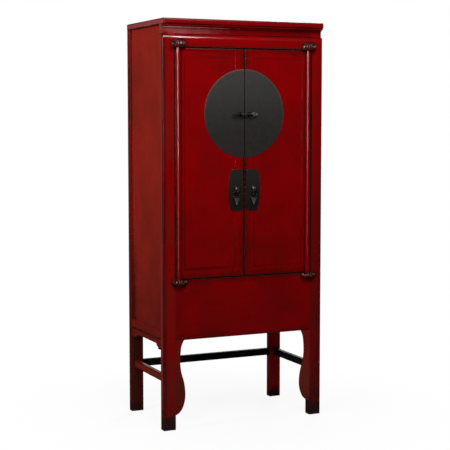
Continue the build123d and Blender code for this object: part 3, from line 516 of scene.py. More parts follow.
metalLook = {
    "dark": (0.025, 0.0215, 0.0200, 1),
    "pale": (0.059, 0.0545, 0.0520, 1),
    # pale where the metal is worn, and painted glints
    "rubAndGlintColour": (0.110, 0.075, 0.060, 1),
    "metallic": 0.2,
    "specular": 0.3,
    "roughness": 0.40,
    "roughSpread": (0.08, -0.05),
    "rubAndGlintSmoother": 0.12,
    "paintedSheenHeights": (1.30, 1.62),  # heights between which the metal is painted from dark to pale, as sheen standing in for the lamps' reflection
    "paintedSheenShare": 0.75,
    "mottleScale": 34.0,
    "mottleSpan": (0.3, 0.72),
    "pits": 0.3,
    "rubAndGlintSpan": (0.25, 0.6),
    "rubAndGlintDepth": (0.45, 1.0),
    "relief": 0.00012,
}
plateLook = dict(
    metalLook, dark=(0.013, 0.0095, 0.0085, 1), pale=(0.026, 0.021, 0.019, 1), paintedSheenHeights=(1.00, 1.16))
pullLook = dict(
    metalLook, dark=(0.0045, 0.004, 0.0036, 1), pale=(0.009, 0.0075, 0.0065, 1),
    rubAndGlintColour=(0.27, 0.245, 0.215, 1), metallic=0.3, specular=0.5, roughness=0.26, paintedSheenHeights=None, mottleScale=120.0)
barLook = dict(pullLook, specular=0.25, roughness=0.42)


def makeMetal(name, look):
    # Clouded and pitted metal, painted paler upwards as sheen; the piece's attribute of rub and glint says
    # where it is worn pale and where a painted glint lies
    material, tree, coordinates = startMaterial(name)
    mottle = useGroup(tree, patina, {"Coordinates": coordinates, "Scale": look["mottleScale"]})
    clouds = mottle["Clouds"]
    tone = ramp(tree, clouds, look["mottleSpan"])
    if look["paintedSheenHeights"]:
        paintedSheen = ramp(tree, parts(tree, coordinates)[2], look["paintedSheenHeights"], (0.0, look["paintedSheenShare"]))
        tone = calc(tree, "MULTIPLY_ADD", tone, 1 - look["paintedSheenShare"], paintedSheen)
    colour = mixColour(tree, tone, look["dark"], look["pale"])
    colour = layOver(tree, colour, mottle["Pits"], look["pits"], look["dark"])
    rubAndGlint = calc(tree, "MULTIPLY", rubAndGlintOf(tree), ramp(tree, clouds, look["rubAndGlintSpan"], look["rubAndGlintDepth"]))
    colour = mixColour(tree, rubAndGlint, colour, look["rubAndGlintColour"])
    smoother = calc(tree, "MULTIPLY", rubAndGlint, look["rubAndGlintSmoother"])
    rough = calc(tree, "SUBTRACT", roughBy(tree, clouds, look), smoother)
    finishMaterial(tree, look, colour, rough, mottle["Height"], look["relief"])
    return material


def buildPiece(name, shells, sharp):
    # Each shell is a grid of points (rows, points along a row, 3) and its rub and painted glint, one value or
    # a grid of them.
    # Neighbouring rows and points are joined by quads; points that fall together are merged.
    vertices, faces, rubAndGlintValues, offset = [], [], [], 0
    for points, rubAndGlint in shells:
        rows, columns = points.shape[:2]
        index = offset + np.arange(rows * columns).reshape(rows, columns)
        quads = np.stack([index[:-1, :-1], index[1:, :-1], index[1:, 1:], index[:-1, 1:]], -1)
        vertices.append(points.reshape(-1, 3))
        faces.append(quads.reshape(-1, 4))
        rubAndGlintValues.append(np.broadcast_to(rubAndGlint, (rows, columns)).reshape(-1))
        offset += rows * columns
    mesh = bpy.data.meshes.new(name)
    mesh.from_pydata(np.concatenate(vertices).tolist(), [], np.concatenate(faces).tolist())
    rubAndGlintLayer = mesh.attributes.new("rubAndGlint", "FLOAT", "POINT")
    rubAndGlintLayer.data.foreach_set("value", np.concatenate(rubAndGlintValues).astype(np.float32))
    edit = bmesh.new()
    edit.from_mesh(mesh)
    bmesh.ops.remove_doubles(edit, verts=edit.verts, dist=2e-6)
    bmesh.ops.dissolve_degenerate(edit, edges=edit.edges, dist=1e-7)
    bmesh.ops.recalc_face_normals(edit, faces=edit.faces)
    edit.to_mesh(mesh)
    edit.free()
    mesh.polygons.foreach_set("use_smooth", [True] * len(mesh.polygons))
    mesh.set_sharp_from_angle(angle=math.radians(sharp))
    return addObject(name, mesh)


def place(piece, body, slotName, material, *nodes):
    # Gives a piece its finish and its body, and hides the CAD nodes that it stands for
    piece.data.materials.append(material)
    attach(piece, body)
    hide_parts(*nodes)


def centreOf(node):
    # Half of the box's lowest plus its highest corner
    low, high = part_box(node)
    return (np.array(low) + np.array(high)) / 2


def loop(count):
    # Angles once round, with the first one again at the end
    return np.linspace(0, 2 * np.pi, count + 1)


def bell(value, centre, width):
    # exp(-((value - centre) / width)^2)
    return np.exp(-(((value - centre) / width) ** 2))


def mirrorX(points, rightHand):
    # The right-hand piece is the left-hand one with X turned over
    return points * np.array([-1.0, 1, 1]) if rightHand else points


def flattened(points, axis, middle, share):
    # Draws one coordinate towards a plane: q = middle + share * (q - middle)
    points[..., axis] = middle + share * (points[..., axis] - middle)
    return points


def turned(profile, start, direction, sides, petals=0, petalDepth=0.0):
    # Profile of (s, r) turned about a line: p = start + s * direction + r * (1 + d cos(n t)) * (cos t, sin t)
    stations, radii = np.transpose(profile)
    direction = np.array(direction, float)
    across = np.array([0, 0, 1.0]) if abs(direction[2]) < 0.9 else np.array([1.0, 0, 0])
    first = np.cross(direction, across)
    second = np.cross(direction, first)
    angle = loop(sides)
    wave = 1 + petalDepth * np.cos(petals * angle)
    ring = (np.cos(angle) * wave)[:, None] * first + (np.sin(angle) * wave)[:, None] * second
    spine = np.array(start, float) + stations[:, None] * direction
    return spine[:, None, :] + radii[:, None, None] * ring


def ball(centre, radius, direction, steps, sides, power=1.0, petals=0, petalDepth=0.0):
    # Sphere as a turned profile: s = -r cos t, radius r sin^power t
    t = np.linspace(0, np.pi, steps)
    profile = np.stack([-radius * np.cos(t), radius * np.sin(t) ** power], -1)
    return turned(profile, centre, direction, sides, petals, petalDepth)


def bentTube(centre, path, widths, heights, normal, sides, closed=True):
    # Oval carried along a flat path: p = path(t) + w cos(a) * sideways + h sin(a) * normal
    step = np.roll(path, -1, 0) - np.roll(path, 1, 0) if closed else np.gradient(path, axis=0)
    step /= np.linalg.norm(step, axis=1)[:, None]
    sideways = np.cross(step, normal)
    angle = loop(sides)
    widths = np.broadcast_to(widths, len(path))
    heights = np.broadcast_to(heights, len(path))
    tube = path[:, None, :] + (widths[:, None] * np.cos(angle))[..., None] * sideways[:, None, :]
    tube = tube + (heights[:, None] * np.sin(angle))[..., None] * np.array(normal, float)
    if closed:
        tube = np.concatenate([tube, tube[:1]])
    return tube + np.array(centre, float)


def capped(grid, rubAndGlint=0.0):
    # A stack of rings closed at both ends: each end ring is joined to its own middle point
    middles = np.repeat(grid[[0, -1], :-1].mean(1, keepdims=True), grid.shape[1], axis=1)
    rubAndGlint = np.broadcast_to(rubAndGlint, grid.shape[:2])
    return np.concatenate([middles[:1], grid, middles[1:]]), np.pad(rubAndGlint, ((1, 1), (0, 0)), mode="edge")


# shoulder is the height of the ends as a share of the crown, tall the share of the block that is carved, and
# crest the angle of the line of painted glints
blockShape = {
    "upper": {"shoulder": 0.66, "tall": 0.96, "crestGlint": 0.46},
    "lower": {"shoulder": 0.42, "tall": 0.86, "crestGlint": 0.26},
    "lobes": 6,
    "lobeDepth": 0.0022,
    "lobeRound": 0.7,
    "crownLobe": 0.0016,
    "lobeFall": 0.0085,  # the front draws back by this much at the ends
    "nose": 0.42,  # squareness of the front
    "crown": 0.8,  # and of the top
    "grooves": ((0.42, 0.09, 0.0022), (0.95, 0.08, 0.00154)),  # angle, width and depth
    "crestWave": 0.10,
    "crestWidth": 0.11,
    "hollowRub": 0.25,  # painted glint between the lobes
}


def carvedBlock(level, side):
    # For u across and a from the socket face up to the crown: depth d(u) falls with u squared and swells on
    # each lobe, height h(u) is an arch, and the skin is (u, -d cos^n a, h sin^m a), grooved along its length.
    # The painted glint lies along a line that waves with the lobes.
    shape, own = blockShape, blockShape[level]
    node = level + "_" + side + "_pivot_block"
    low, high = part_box(node)
    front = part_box("front_apron")[0].y
    u = np.linspace(-1, 1, 121)[:, None]
    a = np.linspace(0, np.pi / 2, 34)[None, :]
    wave = np.abs(np.sin(np.pi * shape["lobes"] * (u + 1) / 2)) ** shape["lobeRound"]
    depth = front - low.y - shape["lobeFall"] * u**2 - shape["lobeDepth"] * (1 - wave)
    arch = own["shoulder"] + (1 - own["shoulder"]) * np.sqrt(np.clip(1 - u**2, 0, 1))
    height = (high.z - low.z) * own["tall"] * arch - shape["crownLobe"] * (1 - wave)
    grooves = sum(deep * bell(a, angle, width) for angle, width, deep in shape["grooves"])
    y = -(depth - grooves) * np.cos(a) ** shape["nose"]
    z = height * np.sin(a) ** shape["crown"]
    line = own["crestGlint"] + shape["crestWave"] * np.cos(np.pi * shape["lobes"] * u)
    rubAndGlint = (shape["hollowRub"] + (1 - shape["hollowRub"]) * wave**3) * bell(a, line, shape["crestWidth"])
    y, z, rubAndGlint = [np.pad(values, ((0, 0), (1, 1))) for values in (y, z, rubAndGlint)]
    x = np.broadcast_to((low.x + high.x) / 2 + u * (high.x - low.x) / 2, y.shape)
    grid = np.stack([x, front + y, low.z + z if level == "upper" else high.z - z], -1)
    return buildPiece("carved_" + node, [capped(grid, rubAndGlint)], 50)


poleShape = {
    "radius": 0.0099,
    "ends": 0.975,  # share of the radius at the ends of the shaft
    "neck": 0.0086,
    "neckLength": 0.010,
    "collar": 0.004,
    "pivot": 0.0059,
    "play": 0.0004,
}


def doorPole(side):
    # Radius r(z): pivot, short neck, then a long shaft that swells by a hair in the middle
    shape = poleShape
    low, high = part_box(side + "_pivot_pole")
    x, y = centreOf(side + "_pivot_pole")[:2]
    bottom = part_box("lower_" + side + "_pivot_block")[1].z + shape["play"]
    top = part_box("upper_" + side + "_pivot_block")[0].z - shape["play"]
    pivot, neck, collar = shape["pivot"], shape["neck"], shape["collar"]
    z = np.linspace(bottom + shape["neckLength"], top - shape["neckLength"], 40)
    swell = shape["ends"] + (1 - shape["ends"]) * np.sin(np.pi * (z - bottom) / (top - bottom))
    foot = [(low.z, 0), (low.z, pivot), (bottom, pivot), (bottom, neck), (bottom + collar, neck)]
    head = [(top - collar, neck), (top, neck), (top, pivot), (high.z, pivot), (high.z, 0)]
    profile = np.concatenate([foot, np.stack([z, shape["radius"] * swell], -1), head])
    return buildPiece(side + "_door_pole", [(turned(profile, (x, y, 0), (0, 0, 1), 40), 0.0)], 35)


# what the round plate and the handle plates share, then the outline of each
plateShape = {
    "field": 0.0015,  # thickness of the flat part
    "fieldShare": 0.955,  # of the way to the edge
    "rim": ((0.962, 0.0014), (0.970, 0.0015), (0.978, 0.0018), (0.988, 0.0018), (0.996, 0.00126), (1.0, 0.0)),
}
moonShape = {
    "narrowing": 0.5,  # its rim is this much narrower
    # painted highlight on the rim: where it starts, and how bright on each half
    "rimGlintFrom": 0.97,
    "leftRub": 1.0,
    "rightRub": 0.6,
}
leafShape = {"bulge": 0.014, "topCorner": 0.011, "footCorner": 0.020}


def plateProfile(steps):
    # Share of the way to the edge and height of the front, from the middle out over the raised rim
    shares, heights = np.transpose(plateShape["rim"])
    field = plateShape["fieldShare"] * np.linspace(0, 1, steps) ** 0.6
    return np.concatenate([field, shares]), np.concatenate([np.full(steps, plateShape["field"]), heights])


def moonHalf(side):
    # Half disc: x = -(gap + r |cos t|), z = r sin t, with the plate's profile along r; the rim's painted
    # highlight is 0.3 + 0.7 sin t, so that it is brightest at the top
    low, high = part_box(side + "_moon_plate")
    radius, gap = (high.z - low.z) / 2, min(abs(low.x), abs(high.x))
    shares, heights = plateProfile(26)
    shares = 1 - moonShape["narrowing"] * (1 - shares**2)
    shares[0] = 0
    t = np.linspace(np.pi / 2, 3 * np.pi / 2, 121)[:, None]
    x = -(gap + shares * (radius - gap) * np.abs(np.cos(t)))
    z = (high.z + low.z) / 2 + shares * radius * np.sin(t)
    front = np.stack([x, np.broadcast_to(high.y - heights, x.shape), z], -1)
    rear = np.stack([x, np.full(x.shape, high.y), z], -1)[:, ::-1]
    grid = mirrorX(np.concatenate([front, rear, front[:, :1]], 1), side == "right")
    rim = np.concatenate([shares > moonShape["rimGlintFrom"], np.zeros(len(shares) + 1)])
    rubAndGlint = rim * np.clip(0.3 + 0.7 * np.sin(t), 0, 1) * moonShape[side + "Rub"]
    return buildPiece(side + "_moon_half", [capped(grid, rubAndGlint)], 30)


def handlePlate(side):
    # For a height z the plate runs from the straight inner edge to a bowed outer edge, both drawn in by the
    # corner radius near the ends; the skin is the middle point plus a share of the way to that outline
    shape = leafShape
    low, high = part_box(side + "_handle_plate")
    inner, outer = sorted([abs(low.x), abs(high.x)])
    tall = (high.z - low.z) / 2
    z = tall * np.sin(np.linspace(-np.pi / 2, np.pi / 2, 61))
    corner = np.where(z > 0, shape["topCorner"], shape["footCorner"])
    inset = corner - np.sqrt(corner**2 - np.clip(np.abs(z) - (tall - corner), 0, corner) ** 2)
    innerX = inner + inset
    outerX = outer - inset - shape["bulge"] * (z / tall) ** 2
    middle = (inner + outer) / 2
    shares, heights = plateProfile(14)
    x = -(middle + (np.concatenate([innerX, outerX[::-1], innerX[:1]])[:, None] - middle) * shares)
    z = (high.z + low.z) / 2 + np.concatenate([z, z[::-1], z[:1]])[:, None] * shares
    front = np.stack([x, np.broadcast_to(high.y - heights, x.shape), z], -1)
    rear = front[:, ::-1].copy()
    rear[..., 1] = high.y
    grid = mirrorX(np.concatenate([front, rear], 1), side == "right")
    return buildPiece(side + "_handle_leaf", [(grid, 0.0)], 30)


eyeShape = {
    "ring": (0.0076, 0.0020, 0.0040),  # radius to its middle, and half its thickness and width
    "ringIn": 0.008,  # from the front of the eye to the ring's middle
    "neckIn": 0.0055,  # and from there to the start of the neck
    "neck": (0.0026, 0.0012),  # waist and flare
    "neckSunk": 0.0015,  # into the round plate
    "rosette": 0.0115,
    "rosetteSunk": 0.0012,
    "profile": ((0, 0), (0, 1), (0.0005, 1), (0.0011, 0.82), (0.0014, 0.5), (0.0022, 0)),
    "petals": (8, 0.07),  # how many and how deep
}


def lockEye(side):
    # Ring about the bar's axis, on a neck of radius waist + flare (2 s - 1)^2 out of a petalled rosette
    shape = eyeShape
    x, _, z = centreOf(side + "_lock_eye")
    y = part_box(side + "_lock_eye")[0].y + shape["ringIn"]
    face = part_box(side + "_moon_plate")[0].y
    t = loop(40)[:-1]
    radius, thick, wide = shape["ring"]
    path = radius * np.stack([0 * t, np.cos(t), np.sin(t)], -1)
    ring = bentTube((x, y, z), path, thick, wide, (1, 0, 0), 16)
    start = y + shape["neckIn"]
    s = np.linspace(0, 1, 9)
    waist = shape["neck"][0] + shape["neck"][1] * (2 * s - 1) ** 2
    neck = turned(np.stack([s * (face + shape["neckSunk"] - start), waist], -1), (x, start, z), (0, 1, 0), 20)
    profile = np.array(shape["profile"]) * [1, shape["rosette"]]
    rosette = turned(profile, (x, face + shape["rosetteSunk"], z), (0, -1, 0), 64, *shape["petals"])
    return buildPiece(side + "_lock_ring", [(ring, 0.0), capped(neck), (rosette, 0.0)], 40)


barShape = {
    "bar": ((0, 0), (0.0004, 0.0024), (0.013, 0.0048), (0.040, 0.0048), (0.041, 0.004224), (0.044, 0.004224),
            (0.045, 0.0048)),
    "collar": ((0, 0.0048), (0, 0.0052), (0.0008, 0.0059), (0.0022, 0.0059), (0.003, 0.0052), (0.003, 0)),
    "collarPlay": 0.0015,  # between the right eye and the collar
    "curlIn": 0.0115,  # from the collar's start to the middle of the curl
    "curlTurns": 1.35,
    "curlRadius": (0.0072, 0.0040),  # and how much it shrinks
    "curlThick": (0.0024, 0.35),  # and how much it tapers
    "curlWide": 0.00245,
    "bud": 0.0062,
    "budPlay": 0.0001,
    "budFlat": 0.42,
    "budPetals": (6, 0.09),
    "rubAndGlint": (0.05, 0.6),  # rub of the bar, and painted glint on its end
}


def lockBar():
    # Tapered bar with a beaded collar; its end is a strap wound in a spiral r0 - k s, then a fluted bud
    shape = barShape
    low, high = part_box("lock_pin")
    start = centreOf("lock_pin")
    start[0] = low.x
    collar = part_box("right_lock_eye")[1].x + shape["collarPlay"] - low.x
    profile = np.concatenate([shape["bar"], np.array(shape["collar"]) + [collar, 0]])
    bar = turned(profile, start, (1, 0, 0), 40)
    s = np.linspace(0, 1, 90)
    t = 2 * np.pi * shape["curlTurns"] * s
    radius = shape["curlRadius"][0] - shape["curlRadius"][1] * s
    path = radius[:, None] * np.stack([-np.cos(t), 0 * t, np.sin(t)], -1)
    thick = shape["curlThick"][0] * (1 - shape["curlThick"][1] * s)
    middle = start + [collar + shape["curlIn"], 0, 0]
    curl = bentTube(middle, path, thick, shape["curlWide"], (0, 1, 0), 16, closed=False)
    middle = start + [high.x - low.x - shape["bud"] - shape["budPlay"], 0, 0]
    bud = ball(middle, shape["bud"], (1, 0, 0), 26, 60, 0.9, *shape["budPetals"])
    bud = flattened(bud, 1, start[1], shape["budFlat"])
    barRub, endGlint = shape["rubAndGlint"]
    return buildPiece("lock_bar", [(bar, barRub), capped(curl, endGlint), (bud, endGlint)], 40)


bossShape = {
    "flange": 0.0108,
    "flangeSunk": 0.0004,
    "profile": ((0, 0), (0, 1), (0.0007, 1), (0.0016, 0.86), (0.0022, 0.6), (0.0026, 0)),
    "petals": (8, 0.06),
    "dome": 0.0084,
    "slot": 0.0036,  # half its width
    "stubSunk": -0.0005,
    "stub": ((0, 0.0062), (0.001, 0.0066), (-0.00685, 0.0066), (-0.00585, 0)),
    "hood": 0.0042,
    "hoodAt": (0.001, 0.0064),  # back and up from the middle of the domes
    "hoodFlat": 0.38,
    "rubAndGlint": (0.6, 0.55),  # painted glint on the cheeks and on the hood
}


def pullBoss(side):
    # Petalled flange, two domed cheeks (sphere caps cut by the slot), a stub that goes back into the door,
    # and a flat hood over the knuckle
    shape = bossShape
    x, _, z = centreOf(side + "_pull_boss")
    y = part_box(side + "_pull_boss")[0].y + shape["dome"]
    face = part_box(side + "_handle_plate")[0].y
    profile = np.array(shape["profile"]) * [1, shape["flange"]]
    flange = turned(profile, (x, face + shape["flangeSunk"], z), (0, -1, 0), 72, *shape["petals"])
    t = np.linspace(math.acos(shape["slot"] / shape["dome"]), 0, 14)
    dome = shape["dome"] * np.stack([np.cos(t), np.sin(t)], -1)
    dome = np.concatenate([[(shape["slot"], 0)], dome])
    cheekGlint, hoodGlint = shape["rubAndGlint"]
    cheeks = [(turned(dome, (x, y, z), (way, 0, 0), 40), cheekGlint) for way in (-1, 1)]
    stub = turned(shape["stub"], (x, face + shape["stubSunk"], z), (0, -1, 0), 32)
    behind, above = shape["hoodAt"]
    hood = ball((x, y + behind, z + above), shape["hood"], (1, 0, 0), 17, 24)
    hood = flattened(hood, 2, z + above, shape["hoodFlat"])
    return buildPiece(side + "_boss_flower", [(flange, 0.0), *cheeks, capped(stub), (hood, hoodGlint)], 40)


# every Down is a distance below the axis of the knuckle, every Flat a share of the depth
pullShape = {
    "axisDown": 0.0045,  # below the top of the pull
    "knuckle": ((-0.0032, 0), (-0.0032, 0.0038), (-0.0026, 0.0043), (0.0026, 0.0043), (0.0032, 0.0038),
                (0.0032, 0)),
    "neckDown": 0.001,
    "neckLength": 0.013,
    "neckRadius": (0.0030, 0.0008),  # and how much narrower the waist is
    "neckFlat": 0.8,
    "loopDown": 0.0225,
    "loopOut": 0.00745,
    "loopSize": (0.0064, 0.0108),
    "loopWire": (0.0020, 0.0024),
    "bowDown": 0.03825,
    "bowSize": (0.0188, 0.0042),
    "bowPinch": 0.55,
    "bowFlat": 0.45,
    "leafDown": 0.0430,
    "leafLength": 0.0295,
    "leafAcross": 0.0112,
    "leafEnd": 0.0030,
    "leafStart": 0.92,  # share of its width at the very top
    "leafThick": 0.0024,
    "leafFlattest": 0.16,
    "tipDown": 0.0725,
    "tip": 0.0044,
    "tipFlat": 0.56,
    "rubAndGlint": (0.15, 0.05, 0.0, 0.10, 0.30, 0.3),  # of the knuckle, neck, loops, bow, leaf and tip
    "leafMoreRub": 0.15,  # towards the tip
}


def doorPull(side):
    # Knuckle, waisted neck, two oval loops, a bow of height b (p + (1 - p) |s|^1.3) sqrt(1 - |s|^5), and a
    # leaf that tapers as (1 - s)^0.9 to a round tip, all flattened front to back
    shape = pullShape
    axis = centreOf(side + "_pull")
    axis[2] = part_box(side + "_pull")[1].z - shape["axisDown"]
    y = axis[1]
    down = np.array([0, 0, -1])
    knuckleRub, neckRub, loopRub, bowRub, leafRub, tipRub = shape["rubAndGlint"]
    s = np.linspace(0, 1, 7)
    waist = shape["neckRadius"][0] - shape["neckRadius"][1] * np.sin(np.pi * s)
    neck = turned(np.stack([s * shape["neckLength"], waist], -1), axis + shape["neckDown"] * down, down, 24)
    neck = flattened(neck, 1, y, shape["neckFlat"])
    shells = [(turned(shape["knuckle"], axis, (1, 0, 0), 32), knuckleRub), capped(neck, neckRub)]
    t = loop(48)[:-1]
    across, tall = shape["loopSize"]
    path = np.stack([across * np.cos(t), 0 * t, tall * np.sin(t)], -1)
    for way in (-1, 1):
        middle = axis + [way * shape["loopOut"], 0, -shape["loopDown"]]
        shells.append((bentTube(middle, path, *shape["loopWire"], (0, 1, 0), 16), loopRub))
    s = np.linspace(-1, 1, 41)
    across, tall = shape["bowSize"]
    pinch = shape["bowPinch"] + (1 - shape["bowPinch"]) * np.abs(s) ** 1.3
    height = tall * pinch * np.sqrt(np.clip(1 - np.abs(s) ** 5, 0, 1))
    profile = np.stack([s * across, np.maximum(height, 1e-5)], -1)
    bow = turned(profile, axis + shape["bowDown"] * down, (1, 0, 0), 28)
    shells.append(capped(flattened(bow, 1, y, shape["bowFlat"]), bowRub))
    s = np.linspace(0, 1, 40)
    width = shape["leafAcross"] * (1 - s) ** 0.9 + shape["leafEnd"]
    width[0] = shape["leafAcross"] * shape["leafStart"]
    leaf = turned(np.stack([s * shape["leafLength"], width], -1), axis + shape["leafDown"] * down, down, 36)
    leaf = flattened(leaf, 1, y, np.clip(shape["leafThick"] / width, shape["leafFlattest"], 1)[:, None])
    shells.append(capped(leaf, (leafRub + shape["leafMoreRub"] * s)[:, None]))
    tip = ball(axis + shape["tipDown"] * down, shape["tip"], down, 20, 28)
    shells.append((flattened(tip, 1, y, shape["tipFlat"]), tipRub))
    return buildPiece(side + "_drop_pull", shells, 40)


knobShape = {
    "length": 0.0158,
    "stem": 0.0042,
    "rim": 0.0098,
    "foot": ((0, 0), (0, 1.4), (0.1, 1.2), (0.3, 1)),  # shares of the length and of the stem
    "neck": (0.5, 0.2),  # its end and its length as shares of the knob's
    "dome": 0.62,  # where the dome starts
    "rubAndGlint": 0.4,
}


def drawerKnob(side):
    # Turned profile: foot and stem, hollow neck r(t) = stem + (rim - stem) sin^1.5 t, dome r(t) = rim cos t
    shape = knobShape
    x, _, z = centreOf(side + "_drawer_knob")
    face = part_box(side + "_drawer_front")[0].y
    length, stem, rim = shape["length"], shape["stem"], shape["rim"]
    t = np.linspace(0, np.pi / 2, 12)
    foot = np.array(shape["foot"]) * [length, stem]
    neckEnd, neckLength = shape["neck"]
    neck = [length * (neckEnd - neckLength * np.cos(t)), stem + (rim - stem) * np.sin(t) ** 1.5]
    dome = [length * (shape["dome"] + (1 - shape["dome"]) * np.sin(t)), rim * np.cos(t)]
    profile = np.concatenate([foot, np.transpose(neck), np.transpose(dome)])
    knob = turned(profile, (x, face, z), (0, -1, 0), 40)
    return buildPiece(side + "_turned_knob", [(knob, shape["rubAndGlint"])], 40)


moonMetal = makeMetal("darkMetal", metalLook)
carved = makeCarved("carvedLacquer", carvedLook)
plateMetal = makeMetal("plateMetal", plateLook)
pullMetal = makeMetal("handledMetal", pullLook)
barMetal = makeMetal("barMetal", barLook)

for side in ("left", "right"):
    door = side + "_door"
    for level in ("upper", "lower"):
        place(carvedBlock(level, side), "cabinet", "carved_wood", carved, level + "_" + side + "_pivot_block")
    poleLacquer = makeLacquer(side + "_poleLacquer", poleLook, "z")
    place(doorPole(side), door, "red_lacquer", poleLacquer, side + "_pivot_pole")
    place(moonHalf(side), door, "dark_brass", moonMetal, side + "_moon_plate")
    place(handlePlate(side), door, "dark_brass", plateMetal, side + "_handle_plate")
    place(lockEye(side), door, "dark_brass", pullMetal, side + "_lock_eye")
    place(pullBoss(side), door, "dark_brass", pullMetal, side + "_pull_boss")
    place(doorPull(side), side + "_pull", "dark_brass", pullMetal, side + "_pull")
    place(drawerKnob(side), side + "_drawer", "dark_brass", pullMetal, side + "_drawer_knob")
place(lockBar(), "lock_pin", "dark_brass", barMetal, "lock_pin")
print("new pieces built")

# look of each board, the way its grain runs, and the sides that lie against another board and so don't wear
boards = {
    "front_left_post": (postLook, "z", "-x+x+z"),
    "front_right_post": (rightPostLook, "z", "-x+z"),
    "rear_left_post": (rearPostLook, "z", "-x+x+z"),
    "rear_right_post": (brightenedShadedPostLook, "z", "-x+x+z"),
    "top_board": (topLook, "x", ""),
    "cove_moulding": (coveLook, "x", "+y+z"),
    "neck_frieze": (neckLook, "x", "-x+x+y-z+z"),
    "front_top_rail": (railLook, "x", "-x+x+y"),
    "front_apron": (lacquerLook, "x", "-x+x+y"),
    "front_left_spandrel": (wingLook, "z", "-x+x-y+y+z"),
    "front_right_spandrel": (rightWingLook, "z", "-x+x-y+y+z"),
    "left_stretcher": (stretcherLook, "y", "-y+y"),
    "door_stops": (gapLook, "x", ""),
}
# the plain dark ones, then those that come as left and right
darkBoards = {
    "right_stretcher": ("y", "-y+y"),
    "rear_stretcher": ("x", "-x+x"),
    "back_top_rail": ("x", "-x+x"),
    "back_bottom_rail": ("x", "-x+x"),
    "back_panel": ("z", "-x+x-z+z"),
    "compartment_floor": ("x", ""),
    "deck": ("x", "-x+x+y"),
    "hatch_battens": ("x", ""),
    "compartment_lid": ("x", ""),
    "drawer_shelf": ("x", "-x+x+y"),
    "upper_shelf": ("x", "-x+x+y"),
    "shelf_cleats": ("y", ""),
    "drawer_partitions": ("z", ""),
    "side_top_battens": ("y", ""),
}
pairedBoards = {
    "_bottom_rail": (sideRailLook, "y", "-y+y+z"),
    "_side_panel": (sideLook, "z", ""),
    "_side_apron": (sideRailLook, "y", "-y+y+z"),
    "_door_frame": (lacquerLook, "z", ""),
    "_door_panel": (lacquerLook, "z", "-x+x-y+y-z+z"),
    "_drawer_front": (lacquerLook, "x", ""),
    "_drawer_box": (woodLook, "y", ""),
}
for board, (along, covered) in darkBoards.items():
    boards[board] = (darkLook, along, covered)
for board, dressing in pairedBoards.items():
    boards["left" + board] = boards["right" + board] = dressing

# marks: soft patches (their centre, their reach and how thick they lie) of painted sheen, of stain and of
# painted shade, and a corner that hands reach
doorStroke = ((-0.195, -0.2, 0.730), (0.150, 0.3, 0.014), 0.50)
boardMarks = {
    # painted highlight along the cove's lower lip
    "cove_moulding": {"paintedSheen": ((-0.40, -0.22, 1.8072), (0.42, 0.4, 0.0030), 1.3)},
    # painted sheen: a brown strip down the rear edge of the post's side face
    "rear_left_post": {"paintedSheen": ((-0.40, 0.237, 0.95), (0.03, 0.022, 3.0), 1.5)},
    # painted sheen at the neck's left end
    "neck_frieze": {"paintedSheen": ((-0.42, -0.20, 1.80), (0.40, 0.4, 0.4), 1.2)},
    # painted sheen on the board's left end
    "top_board": {"paintedSheen": ((-0.41, 0.0, 1.83), (0.03, 1.2, 0.4), 1.2)},
    "front_left_post": {
        # painted sheen on the post's head, beside the neck's
        "paintedSheen": ((-0.42, -0.20, 1.805), (0.40, 0.4, 0.035), 1.2),
        # dirt on the corner's edge and a painted highlight on its side face
        "corner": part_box("front_left_post")[0] + Vector((0, 0.002, 0)),
    },
    # painted shade along the panel's rear edge, beside the rear post and lower down
    "left_side_panel": {"darkPatch": ((-0.39, 0.215, 0.54), (0.3, 0.085, 0.42), 0.8)},
    "left_door_frame": {"darkPatch": doorStroke},
    "left_door_panel": {"darkPatch": doorStroke},
}
shadedGrimyBoards = ("front_left_post", "front_right_post", "left_door_frame", "right_door_frame")
# board whose top a rounded edge follows, and the edge's radius
shoulders = {
    "front_top_rail": ("front_top_rail", 0.026),
    "front_left_post": ("front_top_rail", 0.026),
    "front_right_post": ("front_top_rail", 0.026),
    "left_door_frame": ("left_door_frame", 0.005),
    "right_door_frame": ("right_door_frame", 0.005),
}
panelInset = Vector((0.008, 0, 0.008))
mostCovered = 5  # a board with this many covered sides shows no edge


def marksOf(node):
    # The marks listed for a board, and those that follow from the frame
    marks = dict(boardMarks.get(node, {}))
    if "_door_" in node:
        low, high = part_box(node.split("_")[0] + "_door_panel")
        marks["panel"] = (low + panelInset, high - panelInset)
    if node in shadedGrimyBoards:
        marks["grime"] = True
    if node in shoulders:
        level, radius = shoulders[node]
        marks["shoulder"] = (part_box(level)[1].z, radius)
    return marks


def wearBox(node, covered):
    # The board's box, with each covered side moved a metre out, so that no edge is found there
    low, high = [Vector(corner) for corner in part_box(node)]
    for axis, letter in enumerate("xyz"):
        low[axis] -= "-" + letter in covered
        high[axis] += "+" + letter in covered
    return low, high


for node, (look, along, covered) in boards.items():
    if look is woodLook:
        material = makeWood(node + "_wood", look, along)
    else:
        box = wearBox(node, covered) if len(covered) / 2 < mostCovered else None
        material = makeLacquer(node + "_lacquer", look, along, box, marksOf(node))
    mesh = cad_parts[node].data
    mesh.materials.clear()
    mesh.materials.append(material)
print("boards dressed")


stageLook = {
    "floorSize": 40,
    "floor": (0.40, 0.40, 0.40, 1),  # what the lamps light
    "paleFloor": (0.95, 0.95, 0.95, 1),  # what is seen, with the cabinet's shadow on it
    "white": (1, 1, 1, 1),
    "veil": (0.90, 1.0),  # share of plain white in it, beside the cabinet and further out
    "veilReach": (0.3, 1.3),
    "ambient": 0.05,
    "dim": 0.008,  # the unlit side of the studio, as gloss shows it
    "backdrop": (0.415, 0.910, 0.0),  # the way to the white backdrop
    "backdropEdge": (0.86, 0.95),  # cosines of the angles where it fades in
    "backdropReach": (0.5, 1.8),
}


